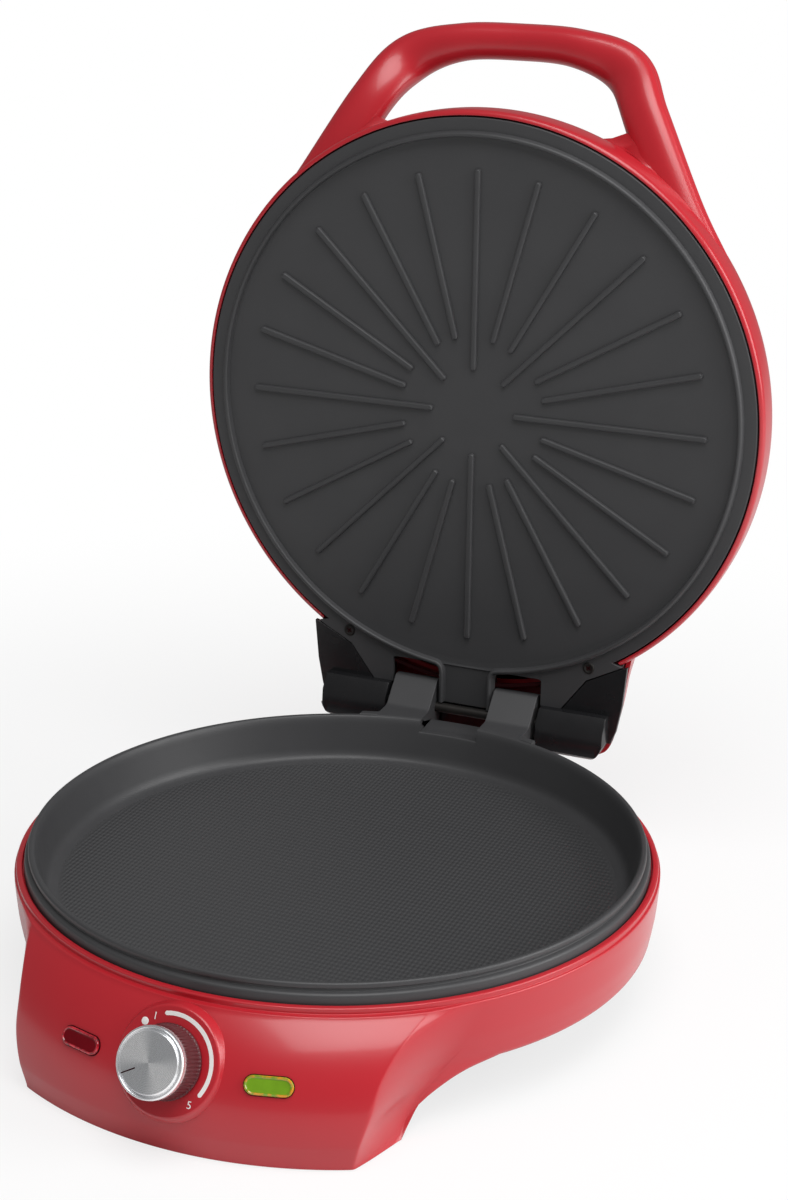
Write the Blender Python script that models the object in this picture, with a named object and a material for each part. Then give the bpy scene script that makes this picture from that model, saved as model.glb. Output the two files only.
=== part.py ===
"""Electric pizza maker: a deep round baking pan in a low base, under a hinged lid with a ribbed plate.

The base stands on the floor with its control panel towards -Y and its hinge towards +Y.
The lid is built closed, and an empty on the hinge rod swings it open as it stands in the photograph.
The origin lies on the floor, in the middle of the whole width and depth of the open cooker.
"""
import math

import bmesh
import bpy
import numpy as np
from mathutils import Matrix, Vector

# Every length below is in millimetres; a finished mesh is scaled to metres once.
TO_METRES = 0.001
GAP = 0.3
ROUND_STEPS = 60

# The pan's axis, which every piece is modelled about, stands this far from the origin
PAN_AXIS_Y = -19.68

# Baking pan
PAN_FLOOR_RADIUS = 149.3
PAN_FLOOR_HEIGHT = 50.6
PAN_MOUTH_RADIUS = PAN_FLOOR_RADIUS + 5.4
PAN_LIP_HEIGHT = PAN_FLOOR_HEIGHT + 25.5
PAN_WALL = 2.6
PAN_EDGE_RADIUS = PAN_MOUTH_RADIUS + 5.3
PAN_EDGE_HEIGHT = PAN_LIP_HEIGHT - 9.2
PAN_STUD_RADIUS = 4.0

# Base shell
BAND_RADIUS = PAN_EDGE_RADIUS + 5.0
BAND_BOTTOM = PAN_FLOOR_HEIGHT - 20.6
RIM_HEIGHT = PAN_EDGE_HEIGHT + 0.1
SHELL_WALL = 3.0
SHELL_BOTTOM = 2.0
PANEL_FOOT_HEIGHT = 12.5
PANEL_ARC_RADIUS = 1.145 * (RIM_HEIGHT - PANEL_FOOT_HEIGHT)
PANEL_FOOT_RADIUS = BAND_RADIUS + 0.4535 * PANEL_ARC_RADIUS
PANEL_TUCK = 2.0
LEDGE_HEIGHT = PAN_EDGE_HEIGHT - 2.4 - GAP

# Controls on the panel
DIAL_HEIGHT = RIM_HEIGHT - 24.0
KNOB_SKIRT_RADIUS = 17.4
DIAL_RADIUS = KNOB_SKIRT_RADIUS + 7.4
DIAL_FOOT_RADIUS = DIAL_RADIUS + 2.6
KNOB_LENGTH = 19.7
KNOB_CAP_RADIUS = KNOB_SKIRT_RADIUS - 0.8
SHAFT_RADIUS = 3.0
LENS_HEIGHT = RIM_HEIGHT - 27.2
LENS_ANGLE = 14.8
LENS_LENGTH = 22.8
LENS_WIDTH = 9.8

# Lid
PLATE_RADIUS = PAN_EDGE_RADIUS + 0.8
LID_RADIUS = PLATE_RADIUS + 3.4
LID_HEIGHT = 53.0
LID_WALL = 2.6
FLANGE_HEIGHT = PAN_LIP_HEIGHT + 0.5
PLATE_THICKNESS = 2.6
BEAD_RADIUS = PLATE_RADIUS - 9.3
RIB_COUNT = 24
RIB_OUTER_RADIUS = PLATE_RADIUS - 27.0
RIB_LONG_INNER_RADIUS = 23.5
RIB_SHORT_INNER_RADIUS = 41.3
RIB_WIDTH = 3.4
TONGUE_HALF_WIDTH = 16.4

# Hinge
HINGE_Y = PLATE_RADIUS + 17.4
HINGE_Z = PAN_LIP_HEIGHT - 1.0
ROD_RADIUS = 2.8
POST_INNER_X = TONGUE_HALF_WIDTH + 1.6
POST_OUTER_X = POST_INNER_X + 25.8
BARREL_INNER_X = POST_OUTER_X + 2.4
BARREL_OUTER_X = BARREL_INNER_X + 40.5
ROD_HALF_LENGTH = BARREL_OUTER_X - 2.7
BARREL_RADIUS = 15.0
OPEN_ANGLE = 90.0

# Parts under the pan and over the upper plate
HEATER_RADIUS = PAN_FLOOR_RADIUS - 44.3
HEATER_TUBE_RADIUS = 3.3
SUPPORT_RADIUS = PAN_FLOOR_RADIUS - 21.3
REFLECTOR_HEIGHT = PAN_FLOOR_HEIGHT - 12.1
COVER_HEIGHT = BAND_BOTTOM
COVER_THICKNESS = 2.5
REFLECTOR_THICKNESS = 0.8

for scene_object in list(bpy.data.objects):
    bpy.data.objects.remove(scene_object, do_unlink=True)


# Helpers: carriers, materials, solids and Boolean steps
def carrier(name, matrix, parent=None):
    """An empty that pieces hang from; its matrix is in millimetres, in its parent's axes."""
    empty = bpy.data.objects.new(name, None)
    bpy.context.scene.collection.objects.link(empty)
    empty.parent = parent
    stand = matrix.copy()
    stand.translation *= TO_METRES
    empty.matrix_local = stand
    return empty


def make_material(name, colour, roughness, metallic=0.0):
    material = bpy.data.materials.new(name)
    material.use_nodes = True
    shader = material.node_tree.nodes["Principled BSDF"]
    shader.inputs["Base Color"].default_value = (*colour, 1.0)
    shader.inputs["Roughness"].default_value = roughness
    shader.inputs["Metallic"].default_value = metallic
    material.diffuse_color = (*colour, 1.0)
    return material


def solid(name, points, faces):
    """A mesh object from points and faces, with doubles merged and faces turned outward."""
    mesh = bpy.data.meshes.new(name)
    bm = bmesh.new()
    corners = [bm.verts.new(point) for point in points]
    for face in faces:
        ring = []
        for index in face:
            if corners[index] not in ring:
                ring.append(corners[index])
        if len(ring) > 2:
            bm.faces.new(ring)
    bmesh.ops.remove_doubles(bm, verts=bm.verts, dist=1e-4)
    bmesh.ops.dissolve_degenerate(bm, edges=bm.edges, dist=1e-4)
    bmesh.ops.recalc_face_normals(bm, faces=bm.faces)
    bm.to_mesh(mesh)
    bm.free()
    item = bpy.data.objects.new(name, mesh)
    bpy.context.scene.collection.objects.link(item)
    return item


def grid_solid(name, rings, close_rings, caps):
    """Join equal rings of points into a skin; the last ring may join the first, or both ends are capped."""
    count = len(rings[0])
    points = [tuple(point) for ring in rings for point in ring]
    faces = []
    total = len(rings) if close_rings else len(rings) - 1
    for i in range(total):
        start = i * count
        after = ((i + 1) % len(rings)) * count
        for j in range(count):
            k = (j + 1) % count
            faces.append((start + j, start + k, after + k, after + j))
    if caps:
        faces.append(tuple(range(count)))
        last = (len(rings) - 1) * count
        faces.append(tuple(last + j for j in range(count)))
    return solid(name, points, faces)


def revolve(name, profile, steps=ROUND_STEPS):
    """Spin a closed profile of (radius, height) pairs about the Z axis."""
    bm = bmesh.new()
    corners = [bm.verts.new((radius, 0.0, height)) for radius, height in profile]
    edges = []
    for first, second in zip(corners, corners[1:] + corners[:1]):
        if first.co.x > 1e-6 or second.co.x > 1e-6:
            edges.append(bm.edges.new((first, second)))
    bmesh.ops.spin(bm, geom=corners + edges, cent=(0, 0, 0), axis=(0, 0, 1), dvec=(0, 0, 0),
                   angle=2 * math.pi, steps=steps, use_duplicate=False)
    bmesh.ops.remove_doubles(bm, verts=bm.verts, dist=2e-3)
    bmesh.ops.dissolve_degenerate(bm, edges=bm.edges, dist=1e-3)
    bmesh.ops.recalc_face_normals(bm, faces=bm.faces)
    mesh = bpy.data.meshes.new(name)
    bm.to_mesh(mesh)
    bm.free()
    item = bpy.data.objects.new(name, mesh)
    bpy.context.scene.collection.objects.link(item)
    return item


def prism(name, outline, low, high, axis="Z"):
    """Extrude a flat outline along an axis; an X prism takes (y, z) pairs and a Z prism (x, y) pairs."""
    bm = bmesh.new()
    if axis == "Z":
        corners = [bm.verts.new((a, b, low)) for a, b in outline]
        push = Vector((0, 0, high - low))
    else:
        corners = [bm.verts.new((low, a, b)) for a, b in outline]
        push = Vector((high - low, 0, 0))
    face = bm.faces.new(corners)
    moved = bmesh.ops.extrude_face_region(bm, geom=[face])
    top = [part for part in moved["geom"] if isinstance(part, bmesh.types.BMVert)]
    bmesh.ops.translate(bm, verts=top, vec=push)
    bmesh.ops.recalc_face_normals(bm, faces=bm.faces)
    mesh = bpy.data.meshes.new(name)
    bm.to_mesh(mesh)
    bm.free()
    item = bpy.data.objects.new(name, mesh)
    bpy.context.scene.collection.objects.link(item)
    return item


def place(item, matrix):
    item.data.transform(matrix)
    return item


def combine(target, tool, operation):
    """Apply one exact Boolean step to the target and remove the tool."""
    step = target.modifiers.new("step", "BOOLEAN")
    step.operation = operation
    step.solver = "EXACT"
    step.object = tool
    graph = bpy.context.evaluated_depsgraph_get()
    result = bpy.data.meshes.new_from_object(target.evaluated_get(graph))
    target.modifiers.clear()
    old = target.data
    target.data = result
    bpy.data.meshes.remove(old)
    bpy.data.objects.remove(tool, do_unlink=True)
    return target


def finish(item, name, material, crease=35.0, holder=None):
    """Clean, smooth, colour and scale a finished piece, and hang it from its carrier."""
    bm = bmesh.new()
    bm.from_mesh(item.data)
    bmesh.ops.remove_doubles(bm, verts=bm.verts, dist=2e-3)
    bmesh.ops.dissolve_degenerate(bm, edges=bm.edges, dist=1e-3)
    bmesh.ops.recalc_face_normals(bm, faces=bm.faces)
    bm.to_mesh(item.data)
    bm.free()
    item.name = name
    item.data.name = name
    item.data.materials.clear()
    item.data.materials.append(material)
    item.data.shade_smooth()
    item.data.set_sharp_from_angle(angle=math.radians(crease))
    item.data.transform(Matrix.Scale(TO_METRES, 4))
    item.parent = holder or BASE
    return item


def arc(centre, radius, start, end, steps):
    angles = np.radians(np.linspace(start, end, steps + 1))
    return [(centre[0] + radius * math.cos(a), centre[1] + radius * math.sin(a)) for a in angles]


def pill(length, width, steps=8):
    """Outline of a slot with round ends, centred on the origin."""
    reach = (length - width) / 2
    return arc((reach, 0), width / 2, -90, 90, steps) + arc((-reach, 0), width / 2, 90, 270, steps)


def frame_at(point, normal):
    """Matrix that puts local Z along the normal and local X level."""
    normal = Vector(normal).normalized()
    level = Vector((0, 0, 1)).cross(normal).normalized()
    upward = normal.cross(level)
    turn = Matrix((level, upward, normal)).transposed().to_4x4()
    return Matrix.Translation(Vector(point)) @ turn


def tube(name, path, radius, steps=8):
    """Sweep a round section along a path of points, with flat ends."""
    path = [Vector(point) for point in path]
    rings = []
    side = None
    for i, point in enumerate(path):
        ahead = path[min(i + 1, len(path) - 1)] - path[max(i - 1, 0)]
        ahead.normalize()
        if side is None:
            side = ahead.orthogonal().normalized()
        side = (side - ahead * side.dot(ahead)).normalized()
        other = ahead.cross(side)
        angles = np.linspace(0, 2 * math.pi, steps, endpoint=False)
        rings.append([point + side * (radius * math.cos(a)) + other * (radius * math.sin(a)) for a in angles])
    return grid_solid(name, rings, close_rings=False, caps=True)


# Carriers of the two bodies that everything else hangs from
BASE = carrier("pan_axis", Matrix.Translation((0, PAN_AXIS_Y, 0)))
SWING = Matrix.Rotation(math.radians(-OPEN_ANGLE), 4, "X")
LID = carrier("lid_pivot", Matrix.Translation((0, HINGE_Y, HINGE_Z)) @ SWING, BASE)

# Materials
RED = make_material("red_plastic", (0.62, 0.02, 0.03), 0.18)
NON_STICK = make_material("non_stick_coating", (0.055, 0.055, 0.058), 0.5)
BLACK = make_material("black_plastic", (0.02, 0.02, 0.021), 0.4)
STEEL = make_material("steel", (0.55, 0.55, 0.56), 0.35, 1.0)
ALUMINIUM = make_material("brushed_aluminium", (0.80, 0.80, 0.81), 0.28, 1.0)
MAROON = make_material("maroon_plastic", (0.09, 0.01, 0.012), 0.35)
RED_LENS = make_material("red_lens", (0.20, 0.004, 0.006), 0.12)
GREEN_LENS = make_material("green_lens", (0.20, 0.30, 0.02), 0.12)
SHEATH = make_material("heater_sheath", (0.20, 0.19, 0.18), 0.45, 1.0)
REFLECTOR = make_material("aluminised_steel", (0.62, 0.62, 0.62), 0.3, 1.0)
CERAMIC = make_material("ceramic", (0.80, 0.78, 0.72), 0.5)
NYLON = make_material("natural_nylon", (0.70, 0.68, 0.60), 0.45)
RUBBER = make_material("grey_rubber", (0.10, 0.10, 0.10), 0.8)


# Base shell: one skin that runs from the round band into the bowed panel and its two flanks
def panel_radius(z):
    """Radius of the control panel at a height: an arc that starts upright above the tucked foot strip."""
    if z < PANEL_FOOT_HEIGHT:
        return PANEL_FOOT_RADIUS - PANEL_TUCK * (PANEL_FOOT_HEIGHT - z) / (PANEL_FOOT_HEIGHT - SHELL_BOTTOM)
    rise = min(z - PANEL_FOOT_HEIGHT, PANEL_ARC_RADIUS)
    return PANEL_FOOT_RADIUS - PANEL_ARC_RADIUS + math.sqrt(PANEL_ARC_RADIUS ** 2 - rise ** 2)


def band_radius(z):
    heights = [BAND_BOTTOM + rise for rise in (-28, -5, 0, 1, 3, 8)]
    heights += [RIM_HEIGHT - drop for drop in (21, 12, 5, 2)]
    insets = [4.5, 4.5, 6.2, 5.2, 4.0, 2.4, 1.2, 0.5, 0.0, 0.2]
    return BAND_RADIUS - float(np.interp(z, heights, insets))


def panel_edge_angle(z):
    """Angle from the front at which the panel turns into the flank."""
    heights = [0.03, 0.18, 0.448, 0.597, 0.746, 0.896, 0.985]
    shares = [0.515, 0.531, 0.5575, 0.565, 0.582, 0.612, 0.636]
    half_width = BAND_RADIUS * float(np.interp(z / RIM_HEIGHT, heights, shares))
    return math.degrees(math.asin(half_width / panel_radius(z)))


def flank_foot_angle(z):
    """Angle from the front at which the flank has run into the round band."""
    return float(np.interp(z / RIM_HEIGHT, [0.03, 0.209, 0.448, 0.746, 0.985], [35.0, 36.2, 38.5, 41.0, 43.5]))


ARCH_END_ANGLE = 52.0
PANEL_COLUMNS = np.linspace(0, 1, 9)
FLANK_COLUMNS = np.linspace(0, 1, 5)[1:]
ARCH_COLUMNS = np.array([0.1, 0.3, 0.55, 1.0])
ARCH_HEIGHTS = [SHELL_BOTTOM + share * (BAND_BOTTOM - SHELL_BOTTOM) for share in (0.32, 0.625, 0.84, 1.0)]
BAND_COLUMNS = np.linspace(0, 1, 25)[1:]


def column_angle(zone, share, z):
    edge = panel_edge_angle(z)
    foot = flank_foot_angle(z)
    if zone == "panel":
        return edge * share
    if zone == "flank":
        return edge + (foot - edge) * share
    if zone == "arch":
        return foot + (ARCH_END_ANGLE - foot) * share
    return ARCH_END_ANGLE + (180 - ARCH_END_ANGLE) * share


def skin_radius(angle, z):
    edge = panel_edge_angle(z)
    foot = flank_foot_angle(z)
    band = band_radius(z)
    if angle <= edge + 1e-6:
        return panel_radius(z)
    if angle >= foot:
        return band
    share = (foot - angle) / (foot - edge)
    return band + (panel_radius(z) - band) * share ** 1.4


LEG_LEVELS = [SHELL_BOTTOM, PANEL_FOOT_HEIGHT - 0.7, PANEL_FOOT_HEIGHT]
LEG_LEVELS += [PANEL_FOOT_HEIGHT + share * (RIM_HEIGHT - PANEL_FOOT_HEIGHT)
               for share in (0.174, 0.358, 0.541, 0.688, 0.817, 0.908, 0.963)]
BAND_LEVELS = [BAND_BOTTOM + share * (RIM_HEIGHT - BAND_BOTTOM)
               for share in (0.0, 0.027, 0.081, 0.216, 0.378, 0.54, 0.676, 0.784, 0.865, 0.946)]
RIM_PROFILE = [(BAND_RADIUS - 0.8, RIM_HEIGHT - 0.7), (BAND_RADIUS - 2.0, RIM_HEIGHT),
               (PAN_EDGE_RADIUS + 0.9, RIM_HEIGHT), (PAN_EDGE_RADIUS + 0.4, RIM_HEIGHT - 0.4),
               (PAN_EDGE_RADIUS + 0.4, LEDGE_HEIGHT), (PAN_EDGE_RADIUS - 2.6, LEDGE_HEIGHT),
               (PAN_EDGE_RADIUS - 2.6, LEDGE_HEIGHT - 2.7)]


def shell_column(zone, share, side, low):
    """One closed loop of the shell wall: up the outside, over the rim and ledge, and down the inside."""
    blend = (low - SHELL_BOTTOM) / (BAND_BOTTOM - SHELL_BOTTOM)
    levels = [a + (b - a) * blend for a, b in zip(LEG_LEVELS, BAND_LEVELS)]
    loop = []
    for z in levels:
        angle = column_angle(zone, share, z)
        loop.append((skin_radius(angle, z), angle, z))
    rim_angle = column_angle(zone, share, levels[-1])
    for radius, z in RIM_PROFILE:
        loop.append((radius, rim_angle, z))
    for z in (levels[7], levels[5], levels[3], levels[2], levels[0]):
        angle = column_angle(zone, share, z)
        loop.append((skin_radius(angle, z) - SHELL_WALL, angle, z))
    points = []
    for radius, angle, z in loop:
        turn = math.radians(angle) * side
        points.append((radius * math.sin(turn), -radius * math.cos(turn), z))
    return points


half = [("panel", share, SHELL_BOTTOM) for share in PANEL_COLUMNS]
half += [("flank", share, SHELL_BOTTOM) for share in FLANK_COLUMNS]
half += [("arch", share, low) for share, low in zip(ARCH_COLUMNS, ARCH_HEIGHTS)]
half += [("band", share, BAND_BOTTOM) for share in BAND_COLUMNS]
columns = [shell_column(zone, share, 1, low) for zone, share, low in half]
columns += [shell_column(zone, share, -1, low) for zone, share, low in reversed(half[1:-1])]
base_shell = grid_solid("base_shell", columns, close_rings=True, caps=False)

# Dial boss, lamp windows and cord hole of the base shell
dial_tilt = math.asin((DIAL_HEIGHT - PANEL_FOOT_HEIGHT) / PANEL_ARC_RADIUS) - math.radians(2.0)
DIAL_NORMAL = Vector((0, -math.cos(dial_tilt), math.sin(dial_tilt)))
DIAL_CENTRE = Vector((0, -panel_radius(DIAL_HEIGHT), DIAL_HEIGHT)) + DIAL_NORMAL * 0.9
DIAL_FRAME = frame_at(DIAL_CENTRE, DIAL_NORMAL)
KNOB = carrier("knob_pivot", DIAL_FRAME, BASE)
boss = revolve("boss", [(0, 0), (DIAL_RADIUS, 0), (DIAL_RADIUS + 0.8, -0.5), (DIAL_FOOT_RADIUS, -4.4),
                        (DIAL_FOOT_RADIUS, -5.6), (0, -5.6)], 48)
combine(base_shell, place(boss, DIAL_FRAME), "UNION")
bore = revolve("bore", [(0, -30), (5.0, -30), (5.0, 10), (0, 10)], 24)
combine(base_shell, place(bore, DIAL_FRAME), "DIFFERENCE")


def lens_frame(side):
    tilt = math.asin((LENS_HEIGHT - PANEL_FOOT_HEIGHT) / PANEL_ARC_RADIUS)
    turn = math.radians(LENS_ANGLE) * side
    normal = Vector((math.sin(turn) * math.cos(tilt), -math.cos(turn) * math.cos(tilt), math.sin(tilt)))
    radius = panel_radius(LENS_HEIGHT)
    return frame_at((radius * math.sin(turn), -radius * math.cos(turn), LENS_HEIGHT), normal)


for side in (-1, 1):
    window = prism("window", pill(LENS_LENGTH + 2 * GAP, LENS_WIDTH + 2 * GAP), -14, 10)
    combine(base_shell, place(window, lens_frame(side)), "DIFFERENCE")

CORD_HEIGHT = BAND_BOTTOM + 15.0
CORD_HOLE_RADIUS = 6.3
cord_frame = frame_at((0, BAND_RADIUS, CORD_HEIGHT), (0, 1, 0))
hole = revolve("hole", [(0, -12), (CORD_HOLE_RADIUS, -12), (CORD_HOLE_RADIUS, 12), (0, 12)], 24)
combine(base_shell, place(hole, cord_frame), "DIFFERENCE")
finish(base_shell, "base_shell", RED)

# Lamp lenses: a pill with a crowned front and a flange behind the panel
for side, name, material in ((-1, "power_lens", RED_LENS), (1, "ready_lens", GREEN_LENS)):
    layers = [(-5.6, 0.0), (0.6, 0.0), (1.5, -0.5), (2.0, -1.4), (2.2, -2.6)]
    rings = []
    for height, shrink in layers:
        outline = pill(LENS_LENGTH + 2 * shrink, LENS_WIDTH + 2 * shrink)
        rings.append([(x, y, height) for x, y in outline])
    lens = grid_solid(name, rings, close_rings=False, caps=True)
    finish(place(lens, lens_frame(side)), name, material)
    holder = prism("holder", pill(LENS_LENGTH - 4, LENS_WIDTH - 2, 6), -18, -5.6 - GAP)
    finish(place(holder, lens_frame(side)), name.replace("lens", "lamp_holder"), NYLON)

# Baking pan: a spun casting with a stepped lip, hinge posts, side blocks, a drain chute and studs
def by_hinge(pairs):
    """Side view points: distance from the hinge line towards the rear, and height over the pan's lip."""
    return [(HINGE_Y + away, PAN_LIP_HEIGHT + rise) for away, rise in pairs]


POST_PROFILE = by_hinge([(-24.8, -8.6), (-12.0, -8.6), (-10.8, -14.1)])
POST_PROFILE += arc((HINGE_Y, HINGE_Z), BARREL_RADIUS, -110, 30, 8)
POST_PROFILE += by_hinge([(10.2, 12.1), (6.3, 14.9), (1.6, 15.3), (-12.2, -0.1), (-24.8, -0.1)])
pan_profile = [
    (0, PAN_FLOOR_HEIGHT), (PAN_FLOOR_RADIUS - 5.5, PAN_FLOOR_HEIGHT),
    (PAN_FLOOR_RADIUS - 1.2, PAN_FLOOR_HEIGHT + 1.3), (PAN_FLOOR_RADIUS + 0.6, PAN_FLOOR_HEIGHT + 4.6),
    (PAN_MOUTH_RADIUS - 1.1, PAN_LIP_HEIGHT - 2.5), (PAN_MOUTH_RADIUS, PAN_LIP_HEIGHT - 0.3),
    (PAN_MOUTH_RADIUS + 0.7, PAN_LIP_HEIGHT), (PAN_MOUTH_RADIUS + 2.2, PAN_LIP_HEIGHT),
    (PAN_MOUTH_RADIUS + 2.9, PAN_LIP_HEIGHT - 0.7), (PAN_MOUTH_RADIUS + 3.0, PAN_LIP_HEIGHT - 2.5),
    (PAN_MOUTH_RADIUS + 2.2, PAN_LIP_HEIGHT - 2.9), (PAN_MOUTH_RADIUS + 2.2, PAN_LIP_HEIGHT - 4.3),
    (PAN_EDGE_RADIUS - 1.4, PAN_LIP_HEIGHT - 4.7), (PAN_EDGE_RADIUS - 0.5, PAN_LIP_HEIGHT - 5.5),
    (PAN_EDGE_RADIUS, PAN_EDGE_HEIGHT), (PAN_EDGE_RADIUS, PAN_EDGE_HEIGHT - 2.4),
    (PAN_EDGE_RADIUS - 3.6, PAN_EDGE_HEIGHT - 2.4), (PAN_EDGE_RADIUS - 4.4, PAN_EDGE_HEIGHT - 3.5),
    (PAN_FLOOR_RADIUS + 3.0, PAN_FLOOR_HEIGHT + 3.6), (PAN_FLOOR_RADIUS + 1.1, PAN_FLOOR_HEIGHT - 0.6),
    (PAN_FLOOR_RADIUS - 4.8, PAN_FLOOR_HEIGHT - PAN_WALL), (0, PAN_FLOOR_HEIGHT - PAN_WALL),
]
lower_plate = revolve("lower_plate", pan_profile)
chute_floor = by_hinge([(-25.7, -8.6), (-6.2, -8.6), (-6.2, -6.5), (-18.2, -6.5), (-25.7, -4.1)])
chute_block = prism("chute_block", chute_floor, -POST_INNER_X - 4, POST_INNER_X + 4, axis="X")
combine(lower_plate, chute_block, "UNION")
for side in (-1, 1):
    near, far = sorted((side * POST_INNER_X, side * POST_OUTER_X))
    combine(lower_plate, prism("post", POST_PROFILE, near, far, axis="X"), "UNION")
    near, far = sorted((side * (POST_OUTER_X - 2), side * (POST_OUTER_X + 9)))
    block_profile = by_hinge([(-24.4, -8.6), (-16.4, -8.6), (-16.4, -1.9), (-17.4, -0.7), (-24.4, -0.7)])
    combine(lower_plate, prism("block", block_profile, near, far, axis="X"), "UNION")
chute_way = by_hinge([(-30.2, -6.7), (-26.2, -7.1), (-10.2, -5.9), (-3.2, -6.1), (-3.2, 2.9), (-30.2, 2.9)])
chute = prism("chute", chute_way, -POST_INNER_X + 0.8, POST_INNER_X - 0.8, axis="X")
combine(lower_plate, chute, "DIFFERENCE")
rod_circle = arc((HINGE_Y, HINGE_Z), ROD_RADIUS + GAP, 0, 337.5, 15)
rod_hole = prism("rod_hole", rod_circle, -POST_OUTER_X - 16, POST_OUTER_X + 16, axis="X")
combine(lower_plate, rod_hole, "DIFFERENCE")
STUD_ANGLES = (45, 135, 225, 315)
STUD_BOTTOM = REFLECTOR_HEIGHT + REFLECTOR_THICKNESS + GAP
for angle in STUD_ANGLES:
    turn = math.radians(angle)
    stud = revolve("stud", [(0, STUD_BOTTOM), (PAN_STUD_RADIUS - 0.8, STUD_BOTTOM),
                            (PAN_STUD_RADIUS, PAN_FLOOR_HEIGHT - 1.6), (0, PAN_FLOOR_HEIGHT - 1.6)], 12)
    move = Matrix.Translation((SUPPORT_RADIUS * math.cos(turn), SUPPORT_RADIUS * math.sin(turn), 0))
    combine(lower_plate, place(stud, move), "UNION")
finish(lower_plate, "lower_plate", NON_STICK, 30)

# Hinge rod with turned-down ends
rod_profile = [(0, -ROD_HALF_LENGTH), (ROD_RADIUS - 0.5, -ROD_HALF_LENGTH), (ROD_RADIUS, 0.5 - ROD_HALF_LENGTH),
               (ROD_RADIUS, ROD_HALF_LENGTH - 0.5), (ROD_RADIUS - 0.5, ROD_HALF_LENGTH), (0, ROD_HALF_LENGTH)]
rod = place(revolve("rod", rod_profile, 16), frame_at((0, HINGE_Y, HINGE_Z), (1, 0, 0)))
finish(rod, "hinge_rod", STEEL)

# Heating element under the pan, its reflector and the supports


def heater_path(radius, height, gap_angle, drop):
    """A ring left open at the rear, whose two ends turn away from the plate."""
    angles = np.radians(np.linspace(90 + gap_angle, 450 - gap_angle, 33))
    ring = [(radius * math.cos(a), radius * math.sin(a), height) for a in angles]
    first, last = ring[0], ring[-1]
    start = [(first[0] * 0.97, first[1] * 0.97, height + drop), (first[0] * 0.99, first[1] * 0.99, height + drop * 0.3)]
    end = [(last[0] * 0.99, last[1] * 0.99, height + drop * 0.3), (last[0] * 0.97, last[1] * 0.97, height + drop)]
    return start + ring + end


heater_height = PAN_FLOOR_HEIGHT - PAN_WALL - GAP - HEATER_TUBE_RADIUS
heater = tube("heater", heater_path(HEATER_RADIUS, heater_height, 14, -9.0), HEATER_TUBE_RADIUS)
finish(heater, "lower_heater", SHEATH)

reflector_edge = REFLECTOR_HEIGHT + 5.5
reflector = revolve("reflector", [
    (30, REFLECTOR_HEIGHT), (PAN_FLOOR_RADIUS - 13.3, REFLECTOR_HEIGHT), (PAN_FLOOR_RADIUS - 6.3, reflector_edge),
    (PAN_FLOOR_RADIUS - 3.3, reflector_edge), (PAN_FLOOR_RADIUS - 3.3, reflector_edge + REFLECTOR_THICKNESS),
    (PAN_FLOOR_RADIUS - 6.7, reflector_edge + REFLECTOR_THICKNESS),
    (PAN_FLOOR_RADIUS - 13.6, REFLECTOR_HEIGHT + REFLECTOR_THICKNESS),
    (30, REFLECTOR_HEIGHT + REFLECTOR_THICKNESS)], 48)
terminal_gap = prism("terminal_gap", pill(66, 16, 6), REFLECTOR_HEIGHT - 8, REFLECTOR_HEIGHT + 12)
place(terminal_gap, Matrix.Translation((0, HEATER_RADIUS - 5, 0)))
combine(reflector, terminal_gap, "DIFFERENCE")
finish(reflector, "lower_reflector", REFLECTOR)

# Bottom cover: a floor under the pan that steps down into the hollow front leg, with two rear legs
COVER_STEP_Y = 62.3 - PANEL_FOOT_RADIUS
COVER_LOW = 3.0
cover_rear = BAND_RADIUS - 9.0
cover_front = -PANEL_FOOT_RADIUS - 1.7
cover_profile = [
    (cover_rear, COVER_HEIGHT), (cover_rear, COVER_HEIGHT + COVER_THICKNESS),
    (COVER_STEP_Y, COVER_HEIGHT + COVER_THICKNESS), (COVER_STEP_Y, COVER_LOW + COVER_THICKNESS),
    (cover_front, COVER_LOW + COVER_THICKNESS), (cover_front, COVER_LOW),
    (COVER_STEP_Y + COVER_THICKNESS, COVER_LOW), (COVER_STEP_Y + COVER_THICKNESS, COVER_HEIGHT)]
bottom_cover = prism("cover", cover_profile, 7 - BAND_RADIUS, BAND_RADIUS - 7, axis="X")


def envelope_ring(z):
    ring = []
    for side in (1, -1):
        zones = [("panel", share) for share in PANEL_COLUMNS]
        zones += [("flank", share) for share in FLANK_COLUMNS]
        zones += [("arch", share) for share in ARCH_COLUMNS]
        zones += [("band", share) for share in BAND_COLUMNS]
        if side < 0:
            zones = zones[1:-1][::-1]
        for zone, share in zones:
            angle = column_angle(zone, share, z)
            radius = skin_radius(angle, z) - SHELL_WALL - GAP
            if z >= BAND_BOTTOM - 1:
                radius = min(radius, band_radius(BAND_BOTTOM) - SHELL_WALL - GAP)
            turn = math.radians(angle) * side
            ring.append((radius * math.sin(turn), -radius * math.cos(turn), z))
    return ring


envelope_levels = [SHELL_BOTTOM + 0.5, 8.0, 14.0] + [BAND_BOTTOM + rise for rise in (-8.0, -2.0, -0.8, 4.0)]
envelope = grid_solid("envelope", [envelope_ring(z) for z in envelope_levels], close_rings=False, caps=True)
combine(bottom_cover, envelope, "INTERSECT")
for angle in STUD_ANGLES:
    turn = math.radians(angle)
    post = revolve("post", [(0, COVER_HEIGHT + 1), (5.0, COVER_HEIGHT + 1), (3.6, REFLECTOR_HEIGHT - GAP),
                            (0, REFLECTOR_HEIGHT - GAP)], 12)
    move = Matrix.Translation((SUPPORT_RADIUS * math.cos(turn), SUPPORT_RADIUS * math.sin(turn), 0))
    combine(bottom_cover, place(post, move), "UNION")
REAR_FOOT = (BAND_RADIUS - 73.0, BAND_RADIUS - 73.0)
FRONT_FOOT = (0.4 * BAND_RADIUS, 35.3 - PANEL_FOOT_RADIUS)
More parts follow.
